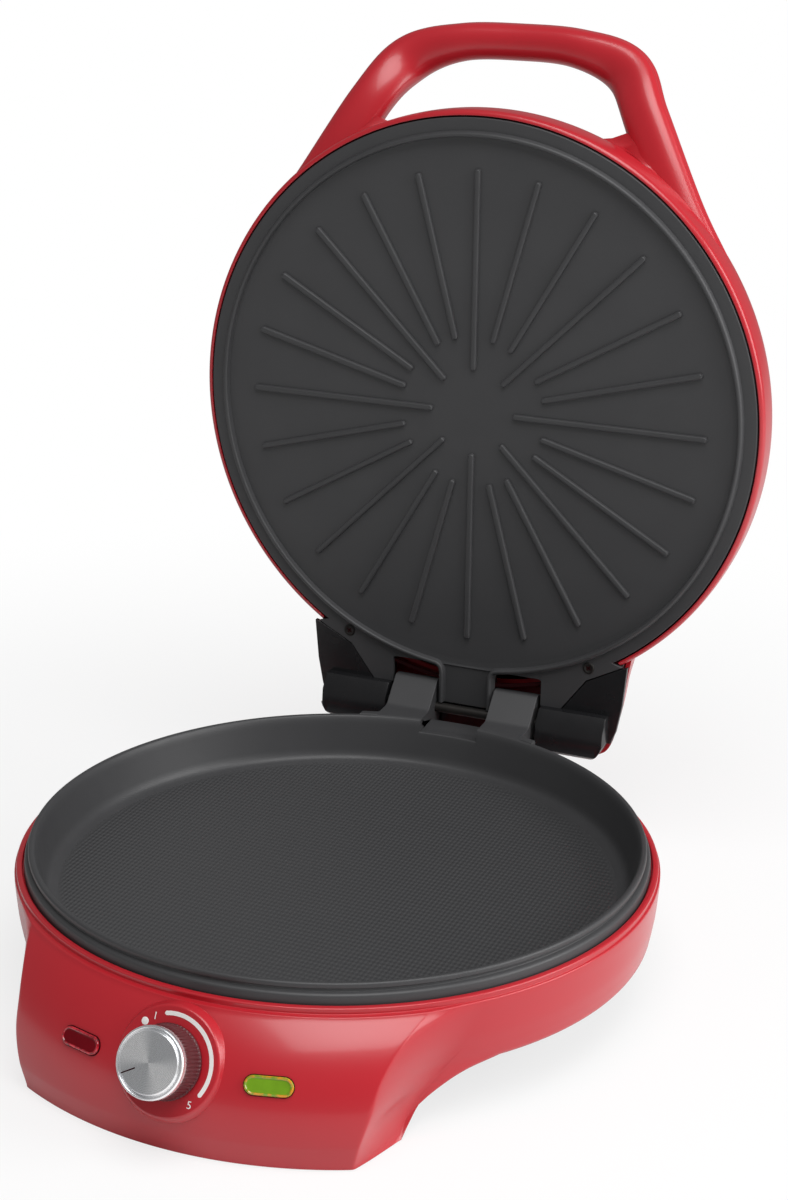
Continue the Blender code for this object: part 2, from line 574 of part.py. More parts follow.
for side in (-1, 1):
    leg = revolve("leg", [(0, COVER_LOW), (10.5, COVER_LOW), (14.0, COVER_HEIGHT + 1), (0, COVER_HEIGHT + 1)], 24)
    combine(bottom_cover, place(leg, Matrix.Translation((side * REAR_FOOT[0], REAR_FOOT[1], 0))), "UNION")
finish(bottom_cover, "bottom_cover", BLACK)

foot_profile = [(0, 0), (7.2, 0), (8.0, 0.8), (8.0, COVER_LOW - GAP), (0, COVER_LOW - GAP)]
for side, word in ((-1, "left"), (1, "right")):
    for spot, place_word in ((FRONT_FOOT, "front"), (REAR_FOOT, "rear")):
        foot = place(revolve("foot", foot_profile, 24), Matrix.Translation((side * spot[0], spot[1], 0)))
        finish(foot, f"{place_word}_foot_{word}", RUBBER)

# Thermostat behind the panel, its shaft and the knob
shaft = revolve("shaft", [(0, -24.0), (SHAFT_RADIUS, -24.0), (SHAFT_RADIUS, 11.5), (SHAFT_RADIUS - 0.6, 12.1),
                          (0, 12.1)], 20)
flat = prism("flat", [(-5, SHAFT_RADIUS - 0.8), (5, SHAFT_RADIUS - 0.8), (5, 6), (-5, 6)], 2.0, 14.0)
combine(shaft, flat, "DIFFERENCE")
finish(shaft, "thermostat_shaft", STEEL, holder=KNOB)

body_profile = [(4.2, -23.6), (4.2, -12.4), (12.5, -12.4), (13.5, -13.4), (13.5, -23.6)]
thermostat = revolve("thermostat", body_profile, 32)
finish(place(thermostat, DIAL_FRAME), "thermostat_body", CERAMIC)
back = revolve("back", [(0, -31.0), (11.5, -31.0), (12.5, -30.0), (12.5, -24.6), (0, -24.6)], 32)
finish(place(back, DIAL_FRAME), "thermostat_back", STEEL)
nut = revolve("nut", [(0, -8.6), (8.5, -8.6), (8.5, -6.2), (0, -6.2)], 6)
combine(nut, revolve("nut_bore", [(0, -14), (3.4, -14), (3.4, -4), (0, -4)], 20), "DIFFERENCE")
finish(place(nut, DIAL_FRAME), "thermostat_nut", STEEL, 20)
bracket = prism("bracket", pill(44, 30, 8), -12.1, -8.9)
window = revolve("window", [(0, -14), (3.6, -14), (3.6, -6), (0, -6)], 20)
combine(bracket, window, "DIFFERENCE")
finish(place(bracket, DIAL_FRAME), "thermostat_bracket", STEEL)

# Knob: a knurled skirt over the shaft and a turned metal cap on its front
KNURL_COUNT = 40
SKIRT_FRONT = KNOB_LENGTH - 5.2
knurl_angles = np.linspace(0, 2 * math.pi, 2 * KNURL_COUNT, endpoint=False)


def knurl_ring(radius, height, depth):
    ring = []
    for i, a in enumerate(knurl_angles):
        reach = radius - (depth if i % 2 else 0.0)
        ring.append((reach * math.cos(a), reach * math.sin(a), height))
    return ring


skirt_rings = [
    knurl_ring(KNOB_SKIRT_RADIUS, 0.6, 0.0), knurl_ring(KNOB_SKIRT_RADIUS, 2.2, 0.0),
    knurl_ring(KNOB_SKIRT_RADIUS - 0.2, 2.6, 0.5), knurl_ring(KNOB_CAP_RADIUS - 0.1, SKIRT_FRONT - 0.6, 0.5),
    knurl_ring(KNOB_CAP_RADIUS - 0.6, SKIRT_FRONT, 0.2)]
skirt = grid_solid("skirt", skirt_rings, close_rings=False, caps=True)
hollow = revolve("hollow", [(6.5, -1), (14.6, -1), (13.8, 9.5), (6.5, 9.5)], 32)
combine(skirt, hollow, "DIFFERENCE")
socket = revolve("socket", [(0, -1), (SHAFT_RADIUS + GAP, -1), (SHAFT_RADIUS + GAP, 12.4), (0, 12.4)], 20)
key = prism("key", [(-5, SHAFT_RADIUS - 0.5), (5, SHAFT_RADIUS - 0.5), (5, 6), (-5, 6)], 2.3, 14.0)
combine(socket, key, "DIFFERENCE")
combine(skirt, socket, "DIFFERENCE")
finish(skirt, "knob_skirt", MAROON, 40, KNOB)

cap_profile = [(0, SKIRT_FRONT + GAP), (KNOB_CAP_RADIUS - 0.8, SKIRT_FRONT + GAP),
               (KNOB_CAP_RADIUS, SKIRT_FRONT + 0.9), (KNOB_CAP_RADIUS, KNOB_LENGTH - 1.4),
               (KNOB_CAP_RADIUS - 1.5, KNOB_LENGTH), (KNOB_CAP_RADIUS - 3.2, KNOB_LENGTH),
               (KNOB_CAP_RADIUS - 3.9, KNOB_LENGTH - 0.7), (0, KNOB_LENGTH - 0.7)]
cap = revolve("cap", cap_profile, 48)
pointer_turn = Matrix.Rotation(math.radians(204), 4, "Z")
groove = prism("groove", pill(7.4, 0.9, 4), KNOB_LENGTH - 1.3, KNOB_LENGTH + 1)
place(groove, pointer_turn @ Matrix.Translation((8.2, 0, 0)))
combine(cap, groove, "DIFFERENCE")
finish(cap, "knob_cap", ALUMINIUM, 30, KNOB)

# Electrical parts in the base: terminal block, thermal fuse and cord gland
terminal = prism("terminal", [(-17, -8), (17, -8), (17, 8), (-17, 8)], COVER_HEIGHT + COVER_THICKNESS + GAP,
                 REFLECTOR_HEIGHT - 0.6)
for x in (-11.0, 0.0, 11.0):
    well = prism("well", pill(8, 5, 4), REFLECTOR_HEIGHT - 2.9, REFLECTOR_HEIGHT + 0.5)
    combine(terminal, place(well, Matrix.Translation((x, 0, 0))), "DIFFERENCE")
finish(place(terminal, Matrix.Translation((0, HEATER_RADIUS + 7, 0))), "terminal_block", NYLON)

fuse_path = [(-16, 0, 0), (-9, 0, 0), (9, 0, 0), (16, 0, 0)]
fuse_height = PAN_FLOOR_HEIGHT - PAN_WALL - GAP - 2.6
fuse = tube("fuse", [(x, y + 40, z + fuse_height) for x, y, z in fuse_path], 2.6, 12)
finish(fuse, "lower_thermal_fuse", STEEL)

gland_profile = [(3.4, -5.2), (5.9, -5.2), (5.9, GAP), (8.6, GAP), (8.6, 1.6), (6.6, 2.4), (5.2, 7.5), (3.4, 7.5)]
finish(place(revolve("gland", gland_profile, 24), cord_frame), "cord_gland", BLACK)

# Lid shell: a spun dome joined to the hinge housing and the arched handle, then hollowed


def lid(profile):
    """Raise a profile of (radius, height over the flange) to the closed lid's height."""
    return [(radius, FLANGE_HEIGHT + height) for radius, height in profile]


# Insets from the lid's radius and shares of its height, outside and inside
DOME_OUTSIDE = [(0.0, 0.2), (0.7, 0.377), (3.2, 0.547), (8.7, 0.689), (18.2, 0.8), (34.2, 0.887), (59.2, 0.947),
                (94.2, 0.985), (134.2, 1.0)]
DOME_INSIDE = [(3.2, 0.387), (5.7, 0.548), (10.7, 0.683), (19.6, 0.792), (35.0, 0.881), (59.6, 0.944),
               (94.3, 0.984), (134.2, 1.0)]
dome_outer = [(0, 0.4), (LID_RADIUS - 2.0, 0.4), (LID_RADIUS - 0.6, 1.2), (LID_RADIUS, 3.0)]
dome_outer += [(LID_RADIUS - inset, share * LID_HEIGHT) for inset, share in DOME_OUTSIDE] + [(0, LID_HEIGHT)]
dome_inner = [(0, -2.0), (PLATE_RADIUS + 0.6, -2.0), (PLATE_RADIUS + 0.6, PLATE_THICKNESS),
              (PLATE_RADIUS - 3.2, PLATE_THICKNESS), (PLATE_RADIUS - 3.2, 5.0), (LID_RADIUS - LID_WALL, 9.0)]
dome_inner += [(LID_RADIUS - inset, share * (LID_HEIGHT - LID_WALL)) for inset, share in DOME_INSIDE]
dome_inner += [(0, LID_HEIGHT - LID_WALL)]

# Housing: half width and height at distances from the hinge line towards the rear
HOUSING_HALF_WIDTH = BARREL_OUTER_X + 9.3
HOUSING_OUTLINE = [(HOUSING_HALF_WIDTH - inset, HINGE_Y + away) for inset, away in (
    (0.0, -66.2), (0.2, -33.2), (1.2, -0.2), (2.6, 10.8), (6.0, 17.8), (12.0, 20.4))]
HOUSING_ROOF = [(HINGE_Y + away, share * LID_HEIGHT) for away, share in (
    (-114.2, 0.875), (-66.2, 0.875), (-38.2, 0.774), (-18.2, 0.66), (-0.2, 0.51), (11.8, 0.349), (17.8, 0.179),
    (20.4, 0.064))]
HOUSING_STATIONS = [HINGE_Y + away for away in (-114.2, -74.2, -50.2, -28.2, -12.2, -0.2, 7.8, 13.8, 17.8, 20.4)]
HOUSING_CORNER = 13.0


def housing(name, inset, bottom):
    """Loft of the hinge housing: upright side walls and rounded shoulders that sink forward into the dome."""
    rings = []
    for y in HOUSING_STATIONS:
        width = float(np.interp(y, *np.array(HOUSING_OUTLINE).T[::-1])) - inset
        roof = float(np.interp(y, *np.array(HOUSING_ROOF).T)) - inset
        corner = min(HOUSING_CORNER - inset, 0.6 * (roof - bottom))
        shoulder = arc((width - corner, roof - corner), corner, 0, 90, 4)
        section = [(width, bottom)] + shoulder + [(-x, h) for x, h in reversed(shoulder)] + [(-width, bottom)]
        station = y - (inset if y > HINGE_Y + 7 else 0)
        rings.append([(x, station, FLANGE_HEIGHT + h) for x, h in section])
    return grid_solid(name, rings, close_rings=False, caps=True)


# Handle: half spread, distance past the lid's front edge and share of the lid's height at each control point
HANDLE_POINTS = np.array([(spread, -LID_RADIUS - past, share * LID_HEIGHT) for spread, past, share in (
    (122.0, -80.2, 0.32), (104.0, -51.2, 0.434), (79.5, -4.2, 0.736), (62.5, 17.6, 1.057), (34.0, 27.4, 1.128),
    (0.0, 29.0, 1.16))])
HANDLE_WIDTHS = [31.0, 29.5, 24.5, 26.0, 20.6, 19.6]
HANDLE_DEPTHS = [15.0, 15.0, 15.6, 16.8, 17.3, 17.4]


def handle_spine(count):
    """Points along the handle with its width and depth, by a Catmull-Rom curve through the control points."""
    mirrored = HANDLE_POINTS[-2::-1] * np.array([-1, 1, 1])
    control = np.vstack([HANDLE_POINTS, mirrored])
    extra = np.array([HANDLE_WIDTHS + HANDLE_WIDTHS[-2::-1], HANDLE_DEPTHS + HANDLE_DEPTHS[-2::-1]]).T
    data = np.hstack([control, extra])
    data = np.vstack([2 * data[0] - data[1], data, 2 * data[-1] - data[-2]])
    spans = len(data) - 3
    samples = []
    for s in np.linspace(0, spans - 1e-9, count):
        i = int(s)
        t = s - i
        a, b, c, d = data[i:i + 4]
        samples.append(0.5 * (2 * b + (c - a) * t + (2 * a - 5 * b + 4 * c - d) * t ** 2
                              + (3 * b - a - 3 * c + d) * t ** 3))
    return np.array(samples)


def handle_half(name, side, wall, steps=7):
    """A channel along the handle: side 1 is the half moulded with the lid, side -1 the cover under it."""
    samples = handle_spine(41)
    rings = []
    for i, sample in enumerate(samples):
        before = Vector(samples[max(i - 1, 0)][:3])
        after = Vector(samples[min(i + 1, len(samples) - 1)][:3])
        along = (after - before).normalized()
        across = along.cross(Vector((0, 0, 1))).normalized()
        upward = across.cross(along)
        centre = Vector((sample[0], sample[1], FLANGE_HEIGHT + sample[2]))
        ring = []
        for shrink, angles in ((0.0, np.linspace(0, math.pi, steps + 1)), (wall, np.linspace(math.pi, 0, steps + 1))):
            for a in angles:
                c, s = math.cos(a), math.sin(a)
                reach = (sample[3] / 2 - shrink) * math.copysign(abs(c) ** 0.6, c)
                rise = (sample[4] / 2 - shrink) * abs(s) ** 0.6
                ring.append(centre + across * reach + upward * (side * (rise + GAP / 2)))
        rings.append(ring)
    return grid_solid(name, rings, close_rings=False, caps=True)


lid_shell = revolve("lid_shell", lid(dome_outer))
combine(lid_shell, housing("housing", 0.0, 0.4), "UNION")
combine(lid_shell, handle_half("handle", 1, LID_WALL), "UNION")
combine(lid_shell, revolve("dome_inner", lid(dome_inner)), "DIFFERENCE")
combine(lid_shell, housing("housing_inner", LID_WALL, -2.0), "DIFFERENCE")

handle_cover = handle_half("handle_cover", -1, LID_WALL)
dome_clear = revolve("dome_clear", lid([(0, 0)] + [(r + (0.5 if r > 0 else 0), h) for r, h in dome_outer[1:-1]]
                                       + [(0, LID_HEIGHT + 0.5)]))
combine(handle_cover, dome_clear, "DIFFERENCE")

# Upper plate: spun flange, bead and face, with ribs, hinge ears, a drain tongue and two slots for the posts
PLATE_FACE_TOP = PLATE_THICKNESS + 0.8
EAR_HALF_WIDTH = BARREL_OUTER_X - 12.7
plate_profile = [
    (0, 0.8), (BEAD_RADIUS - 4.1, 0.8), (BEAD_RADIUS - 2.3, -0.4), (BEAD_RADIUS - 1.3, -2.4), (BEAD_RADIUS, -3.0),
    (BEAD_RADIUS + 1.3, -2.4), (BEAD_RADIUS + 2.3, -0.6), (BEAD_RADIUS + 3.7, 0), (PLATE_RADIUS - 0.4, 0),
    (PLATE_RADIUS, 0.5), (PLATE_RADIUS, PLATE_THICKNESS - GAP), (PLATE_RADIUS - 6.8, PLATE_THICKNESS - GAP),
    (PLATE_RADIUS - 8.8, PLATE_FACE_TOP), (0, PLATE_FACE_TOP)]
upper_plate = revolve("upper_plate", lid(plate_profile))
ears = [(x, math.sqrt(BEAD_RADIUS ** 2 - x ** 2)) for x in np.linspace(EAR_HALF_WIDTH, -EAR_HALF_WIDTH, 15)]
ears += [(1.4 - EAR_HALF_WIDTH, HINGE_Y - 31.7), (13.2 - EAR_HALF_WIDTH, HINGE_Y - 11.6)]
ears += [(EAR_HALF_WIDTH - 13.2, HINGE_Y - 11.6), (EAR_HALF_WIDTH - 1.4, HINGE_Y - 31.7)]
combine(upper_plate, prism("ears", ears, FLANGE_HEIGHT, FLANGE_HEIGHT + PLATE_THICKNESS - GAP), "UNION")
tongue = [(-TONGUE_HALF_WIDTH, HINGE_Y - 28.2), (TONGUE_HALF_WIDTH, HINGE_Y - 28.2),
          (TONGUE_HALF_WIDTH, HINGE_Y - 5.6), (-TONGUE_HALF_WIDTH, HINGE_Y - 5.6)]
combine(upper_plate, prism("tongue", tongue, FLANGE_HEIGHT - 2.8, FLANGE_HEIGHT + PLATE_THICKNESS - GAP), "UNION")
for side in (-1, 1):
    near, far = sorted((side * (TONGUE_HALF_WIDTH + 1.0), side * (BARREL_INNER_X - 0.6)))
    slot = [(near, HINGE_Y - 26.8), (far, HINGE_Y - 26.8), (far, HINGE_Y - 2.2), (near, HINGE_Y - 2.2)]
    combine(upper_plate, prism("slot", slot, FLANGE_HEIGHT - 6, FLANGE_HEIGHT + 8), "DIFFERENCE")
channel_edge = TONGUE_HALF_WIDTH - 3.2
channel = [(-channel_edge, HINGE_Y - 34.2), (channel_edge, HINGE_Y - 34.2), (channel_edge, HINGE_Y),
           (-channel_edge, HINGE_Y)]
combine(upper_plate, prism("channel", channel, FLANGE_HEIGHT - 6, FLANGE_HEIGHT + 0.8), "DIFFERENCE")
for i in range(RIB_COUNT):
    inner = RIB_LONG_INNER_RADIUS if i % 3 == 0 else RIB_SHORT_INNER_RADIUS
    length = RIB_OUTER_RADIUS - inner
    rib = prism("rib", pill(length, RIB_WIDTH, 3), FLANGE_HEIGHT - 0.9, FLANGE_HEIGHT + 1.6)
    turn = Matrix.Rotation(2 * math.pi * i / RIB_COUNT - math.pi / 2, 4, "Z")
    place(rib, turn @ Matrix.Translation(((RIB_OUTER_RADIUS + inner) / 2, 0, 0)))
    combine(upper_plate, rib, "UNION")

# Hinge cover of the lid: a plate with two wings, slots for the posts and two barrels on the rod
cover_outline = [(x - LID_WALL - GAP, y - (5.5 if y > HINGE_Y + 7 else 0)) for x, y in HOUSING_OUTLINE]
cover_outline[0] = (cover_outline[0][0], HINGE_Y - 56.2)
cover_outline += [(-x, y) for x, y in reversed(cover_outline)]
hinge_cover = prism("hinge_cover", cover_outline, FLANGE_HEIGHT + PLATE_THICKNESS, FLANGE_HEIGHT + 6.4)
for side in (-1, 1):
    wing = [(side * (BARREL_OUTER_X + out), HINGE_Y + away) for out, away in (
        (-11.1, -41.7), (6.2, -41.7), (5.7, -18.2), (5.2, -4.2), (-27.1, -4.2), (-27.1, -8.2), (-13.7, -31.2))]
    combine(hinge_cover, prism("wing", wing, FLANGE_HEIGHT + 1.0, FLANGE_HEIGHT + 4.0), "UNION")
    near, far = sorted((side * BARREL_INNER_X, side * BARREL_OUTER_X))
    barrel = [(-11.2, -2.9), (-3.2, -8.7), (5.0, -9.6), (10.6, -10.6)]
    barrel += arc((0, 0), BARREL_RADIUS, -45, 90, 9)
    barrel += [(-11.2, 12.0)]
    barrel = [(HINGE_Y + y, HINGE_Z + z) for y, z in barrel]
    combine(hinge_cover, prism("barrel", barrel, near, far, axis="X"), "UNION")
plate_clear = revolve("plate_clear", lid([
    (0, -8), (PLATE_RADIUS + 2 * GAP, -8), (PLATE_RADIUS + 2 * GAP, PLATE_THICKNESS),
    (PLATE_RADIUS - 6.4, PLATE_THICKNESS), (PLATE_RADIUS - 6.4, PLATE_FACE_TOP + GAP), (0, PLATE_FACE_TOP + GAP)]))
combine(hinge_cover, plate_clear, "DIFFERENCE")
for side in (-1, 1):
    near, far = sorted((side * (TONGUE_HALF_WIDTH + 0.2), side * (BARREL_INNER_X - 0.6)))
    slot = [(near, HINGE_Y - 28.2), (far, HINGE_Y - 28.2), (far, HINGE_Y + 21.8), (near, HINGE_Y + 21.8)]
    combine(hinge_cover, prism("slot", slot, FLANGE_HEIGHT - 20, FLANGE_HEIGHT + 20), "DIFFERENCE")
gap_between = [(-TONGUE_HALF_WIDTH - 2, HINGE_Y - 10.2), (TONGUE_HALF_WIDTH + 2, HINGE_Y - 10.2),
               (TONGUE_HALF_WIDTH + 2, HINGE_Y + 21.8), (-TONGUE_HALF_WIDTH - 2, HINGE_Y + 21.8)]
combine(hinge_cover, prism("gap", gap_between, FLANGE_HEIGHT - 20, FLANGE_HEIGHT + 20), "DIFFERENCE")
bore = prism("bore", rod_circle, -BARREL_OUTER_X - 13, BARREL_OUTER_X + 13, axis="X")
combine(hinge_cover, bore, "DIFFERENCE")

# Heating element and reflector in the lid
plate_back = FLANGE_HEIGHT + PLATE_FACE_TOP + GAP
upper_heater = tube("upper_heater", heater_path(HEATER_RADIUS, plate_back + HEATER_TUBE_RADIUS, 20, 11.0),
                    HEATER_TUBE_RADIUS)
upper_reflector = revolve("upper_reflector", lid([
    (26, 15.2), (HEATER_RADIUS + 7.0, 15.2), (HEATER_RADIUS + 11.8, 11.0), (HEATER_RADIUS + 13.6, 3.8),
    (HEATER_RADIUS + 16.0, 3.8), (HEATER_RADIUS + 16.0, 4.6), (HEATER_RADIUS + 14.3, 4.6),
    (HEATER_RADIUS + 12.5, 11.3), (HEATER_RADIUS + 7.4, 16.0), (26, 16.0)]), 48)
terminal_gap = prism("terminal_gap", pill(88, 16, 6), FLANGE_HEIGHT + 12, FLANGE_HEIGHT + 20)
combine(upper_reflector, place(terminal_gap, Matrix.Translation((0, HEATER_RADIUS - 9, 0))), "DIFFERENCE")
upper_fuse = tube("upper_fuse", [(x, y - 40, plate_back + 2.6) for x, y, z in fuse_path], 2.6, 12)

# Hang the lid's pieces from the empty on the rod
for item, name, material, crease in (
        (lid_shell, "lid_shell", RED, 35), (handle_cover, "handle_cover", RED, 35),
        (upper_plate, "upper_plate", NON_STICK, 25), (hinge_cover, "lid_hinge_cover", BLACK, 35),
        (upper_heater, "upper_heater", SHEATH, 35), (upper_reflector, "upper_reflector", REFLECTOR, 35),
        (upper_fuse, "upper_thermal_fuse", STEEL, 35)):
    finish(item, name, material, crease, LID)
    item.location = Vector((0, -HINGE_Y, -HINGE_Z)) * TO_METRES
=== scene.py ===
"""Electric pizza maker with its lid open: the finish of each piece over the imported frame.

Lengths are in millimetres about the pan's axis until a piece's mesh is written, when they become metres.
"""
import math

import bmesh
import bpy
import numpy as np
from mathutils import Matrix, Vector


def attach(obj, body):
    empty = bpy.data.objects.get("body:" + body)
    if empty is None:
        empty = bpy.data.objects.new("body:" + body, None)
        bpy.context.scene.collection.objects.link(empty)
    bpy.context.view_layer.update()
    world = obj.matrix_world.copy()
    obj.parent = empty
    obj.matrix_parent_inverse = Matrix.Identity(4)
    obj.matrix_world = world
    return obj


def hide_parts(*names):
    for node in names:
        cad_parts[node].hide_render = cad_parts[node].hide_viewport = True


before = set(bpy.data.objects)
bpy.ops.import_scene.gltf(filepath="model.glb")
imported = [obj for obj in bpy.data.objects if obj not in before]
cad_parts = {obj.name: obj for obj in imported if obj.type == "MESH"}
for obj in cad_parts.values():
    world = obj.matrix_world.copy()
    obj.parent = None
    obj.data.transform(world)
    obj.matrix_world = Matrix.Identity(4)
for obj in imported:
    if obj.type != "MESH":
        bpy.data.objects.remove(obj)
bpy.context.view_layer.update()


# Base shell: the red moulding under the pan, with a round band and a bowed control panel on a hollow front leg.
# One injection moulding in glossy red plastic. The band turns over two swept flanks into the panel, and behind
# the leg the lower edge arches up to the band.
PAN_AXIS_Y = -19.68


def metres(points):
    """Millimetres about the pan's axis to metres in the frame: the axis stands 19.68 mm from the origin."""
    return (np.asarray(points, float) + (0.0, PAN_AXIS_Y, 0.0)) * 0.001


def through(pairs, at):
    """A smooth line through (x, y) pairs: a cubic on each span, whose end slopes are harmonic means, so that
    it never swings past a given point."""
    x, y = np.array(pairs, float).T
    gap, rise = np.diff(x), np.diff(y)
    slope = rise / gap
    product = slope[:-1] * slope[1:]
    total = np.where(product > 0, slope[:-1] + slope[1:], 1.0)
    tangent = np.concatenate([slope[:1], np.where(product > 0, 2 * product / total, 0.0), slope[-1:]])
    i = np.clip(np.searchsorted(x, at, side="right") - 1, 0, len(gap) - 1)
    t = np.clip((at - x[i]) / gap[i], 0, 1)
    return (y[i] + rise[i] * t * t * (3 - 2 * t)
            + gap[i] * (tangent[i] * t * (1 - t) ** 2 - tangent[i + 1] * t * t * (1 - t)))


def rounded(corners, radius, steps=5, closed=True):
    """An outline with each corner replaced by a short parabola that starts and ends a radius along its sides,
    or half way along a shorter side."""
    corners = np.array(corners, float)
    radius = np.broadcast_to(np.array(radius, float), len(corners)).copy()
    if not closed:
        radius[[0, -1]] = 0
    before, after = np.roll(corners, 1, 0) - corners, np.roll(corners, -1, 0) - corners
    first = corners + before * np.minimum(radius / np.linalg.norm(before, axis=1), 0.5)[:, None]
    last = corners + after * np.minimum(radius / np.linalg.norm(after, axis=1), 0.5)[:, None]
    t = np.linspace(0, 1, steps)[None, :, None]
    curve = (1 - t) ** 2 * first[:, None] + 2 * t * (1 - t) * corners[:, None] + t ** 2 * last[:, None]
    return curve.reshape(-1, corners.shape[1])


def skin(name, patches, material, body, sharp=40, bevel=0.0):
    """A mesh from patches: each is (grid of points, rows wrap, columns wrap, ends closed), and every cell of a
    grid becomes a face between neighbours i, i + 1 and j, j + 1. Doubles are merged, so a row that shrinks to
    one point closes a pole, and faces are turned outwards."""
    points, faces, start = [], [], 0
    for grid, wrap_rows, wrap_columns, ends in patches:
        rows, columns = grid.shape[:2]
        i = np.arange(rows if wrap_rows else rows - 1)[:, None]
        j = np.arange(columns if wrap_columns else columns - 1)[None, :]
        i_next, j_next = (i + 1) % rows, (j + 1) % columns
        corners = [i * columns + j, i * columns + j_next, i_next * columns + j_next, i_next * columns + j]
        faces += (np.stack(np.broadcast_arrays(*corners), -1).reshape(-1, 4) + start).tolist()
        if ends:
            faces += [(start + np.arange(columns)).tolist(),
                      (start + (rows - 1) * columns + np.arange(columns)).tolist()]
        points.append(grid.reshape(-1, 3))
        start += rows * columns
    mesh = bpy.data.meshes.new(name)
    mesh.from_pydata(metres(np.concatenate(points)).tolist(), [], faces)
    work = bmesh.new()
    work.from_mesh(mesh)
    bmesh.ops.remove_doubles(work, verts=work.verts, dist=2e-6)
    bmesh.ops.dissolve_degenerate(work, edges=work.edges, dist=1e-6)
    bmesh.ops.recalc_face_normals(work, faces=work.faces)
    work.to_mesh(mesh)
    work.free()
    mesh.shade_smooth()
    mesh.set_sharp_from_angle(angle=math.radians(sharp))
    mesh.materials.append(material)
    piece = bpy.data.objects.new(name, mesh)
    bpy.context.scene.collection.objects.link(piece)
    if bevel:
        edge = piece.modifiers.new("edge", "BEVEL")
        edge.width = bevel * 0.001
        edge.segments = 3
        edge.limit_method = "ANGLE"
        edge.angle_limit = math.radians(35)
        edge.harden_normals = True
    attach(piece, body)
    return piece


class Field:
    """A shader value that ordinary sums can be written on; each sum adds one Math node."""

    def __init__(self, tree, socket):
        self.tree = tree
        self.socket = socket

    def node(self, kind, settings=(), inputs=(), output=0):
        made = self.tree.nodes.new(kind)
        for key, value in dict(settings).items():
            setattr(made, key, value)
        for key, value in dict(inputs).items():
            if isinstance(value, Field):
                self.tree.links.new(value.socket, made.inputs[key])
            else:
                made.inputs[key].default_value = value
        return Field(self.tree, made.outputs[output])

    def math(self, operation, *others):
        return self.node("ShaderNodeMath", {"operation": operation}, enumerate((self, *others)))

    def __add__(self, other):
        return self.math("ADD", other)

    def __sub__(self, other):
        return self.math("SUBTRACT", other)

    def __rsub__(self, other):
        return (self * -1.0) + other

    def __mul__(self, other):
        return self.math("MULTIPLY", other)

    def __truediv__(self, other):
        return self.math("DIVIDE", other)

    def __pow__(self, other):
        return self.math("POWER", other)

    def __abs__(self):
        return self.math("ABSOLUTE")

    __radd__ = __add__
    __rmul__ = __mul__

    def step(self, low, high):
        """0 below low, 1 above high, smooth between."""
        return self.node("ShaderNodeMapRange", {"interpolation_type": "SMOOTHSTEP"},
                         {"Value": self, "From Min": low, "From Max": high})

    def colours(self, low, high):
        """The first colour where this is 0 and the second where it is 1."""
        return self.node("ShaderNodeMix", {"data_type": "RGBA"}, {0: self, 6: (*low, 1), 7: (*high, 1)}, 2)

    def axes(self):
        return [self.node("ShaderNodeSeparateXYZ", (), {0: self}, i) for i in range(3)]

    def noise(self, scale, detail=3.0):
        return self.node("ShaderNodeTexNoise", (), {"Vector": self, "Scale": scale, "Detail": detail})

    def moved(self, shift):
        return self.node("ShaderNodeMapping", (), {"Vector": self, "Location": shift})


def finish(name, colour, roughness, metallic=0.0, coat=0.0, coat_roughness=0.03, ior=1.5, specular=0.5):
    """A new material: its shader, and the place on the piece that its patterns read."""
    material = bpy.data.materials.new(name)
    material.use_nodes = True
    tree = material.node_tree
    shader = tree.nodes["Principled BSDF"]
    constants = {"Base Color": (*colour, 1), "Roughness": roughness, "Metallic": metallic, "Coat Weight": coat,
                 "Coat Roughness": coat_roughness, "IOR": ior, "Specular IOR Level": specular}
    for key, value in constants.items():
        shader.inputs[key].default_value = value
    spot = Field(tree, tree.nodes.new("ShaderNodeTexCoord").outputs["Object"])
    return material, shader, spot


def drive(shader, **fields):
    """Feed the shader's sockets; relief is (height, distance in metres) and becomes a bump."""
    for key, field in fields.items():
        if key == "relief":
            height, distance = field
            bump = height.node("ShaderNodeBump", (), {"Height": height, "Distance": distance})
            height.tree.links.new(bump.socket, shader.inputs["Normal"])
        else:
            field.tree.links.new(field.socket, shader.inputs[key.replace("_", " ")])


red, shader, spot = finish("glossy_red", (0.45, 0.013, 0.022), 0.3, coat=0.3, coat_roughness=0.12)
drive(shader, Base_Color=spot.noise(9.0).colours((0.43, 0.012, 0.020), (0.47, 0.014, 0.024)),
      Roughness=spot.noise(30.0) * 0.08 + 0.27, relief=(spot.noise(900.0, 1.0), 0.000006))

FOOT_Z, BAND_Z, SHELL_LOW = 12.5, 30.0, 0.5
SHELL_WALL = 3.0


def panel_radius(z):
    """Side view of the panel: an arc of 62.4 mm that starts upright at the foot line, and a tucked strip below.
    The two meet over a rounding of about a millimetre."""
    rise = np.clip(z - FOOT_Z, 0, 62.4)
    arc = 130.9 + np.sqrt(62.4 ** 2 - rise ** 2)
    strip = 193.3 - 1.9 * (FOOT_Z - z) / (FOOT_Z - 2.0)
    gap = arc - strip
    return 0.5 * (arc + strip) - 0.5 * np.sqrt(gap ** 2 + 0.05)


def band_radius(z):
    """The band's slight barrel shape; below it, where only the leg reaches, the flank's foot flares outwards."""
    return through([(0, 170.0), (3, 167.0), (8, 164.0), (14, 162.2), (22, 161.3), (30, 161.4),
                    (38, 162.6), (46, 163.8), (55, 164.5), (62, 164.9), (70, 164.9)], z)


def panel_edge(z):
    """Angle from the front at which the panel turns into the flank, from its half width at each height."""
    half = through([(2, 85.0), (12, 87.6), (30, 92.0), (40, 93.2), (50, 96.0), (60, 101.0), (66, 105.0)], z)
    return np.degrees(np.arcsin(half / panel_radius(z)))


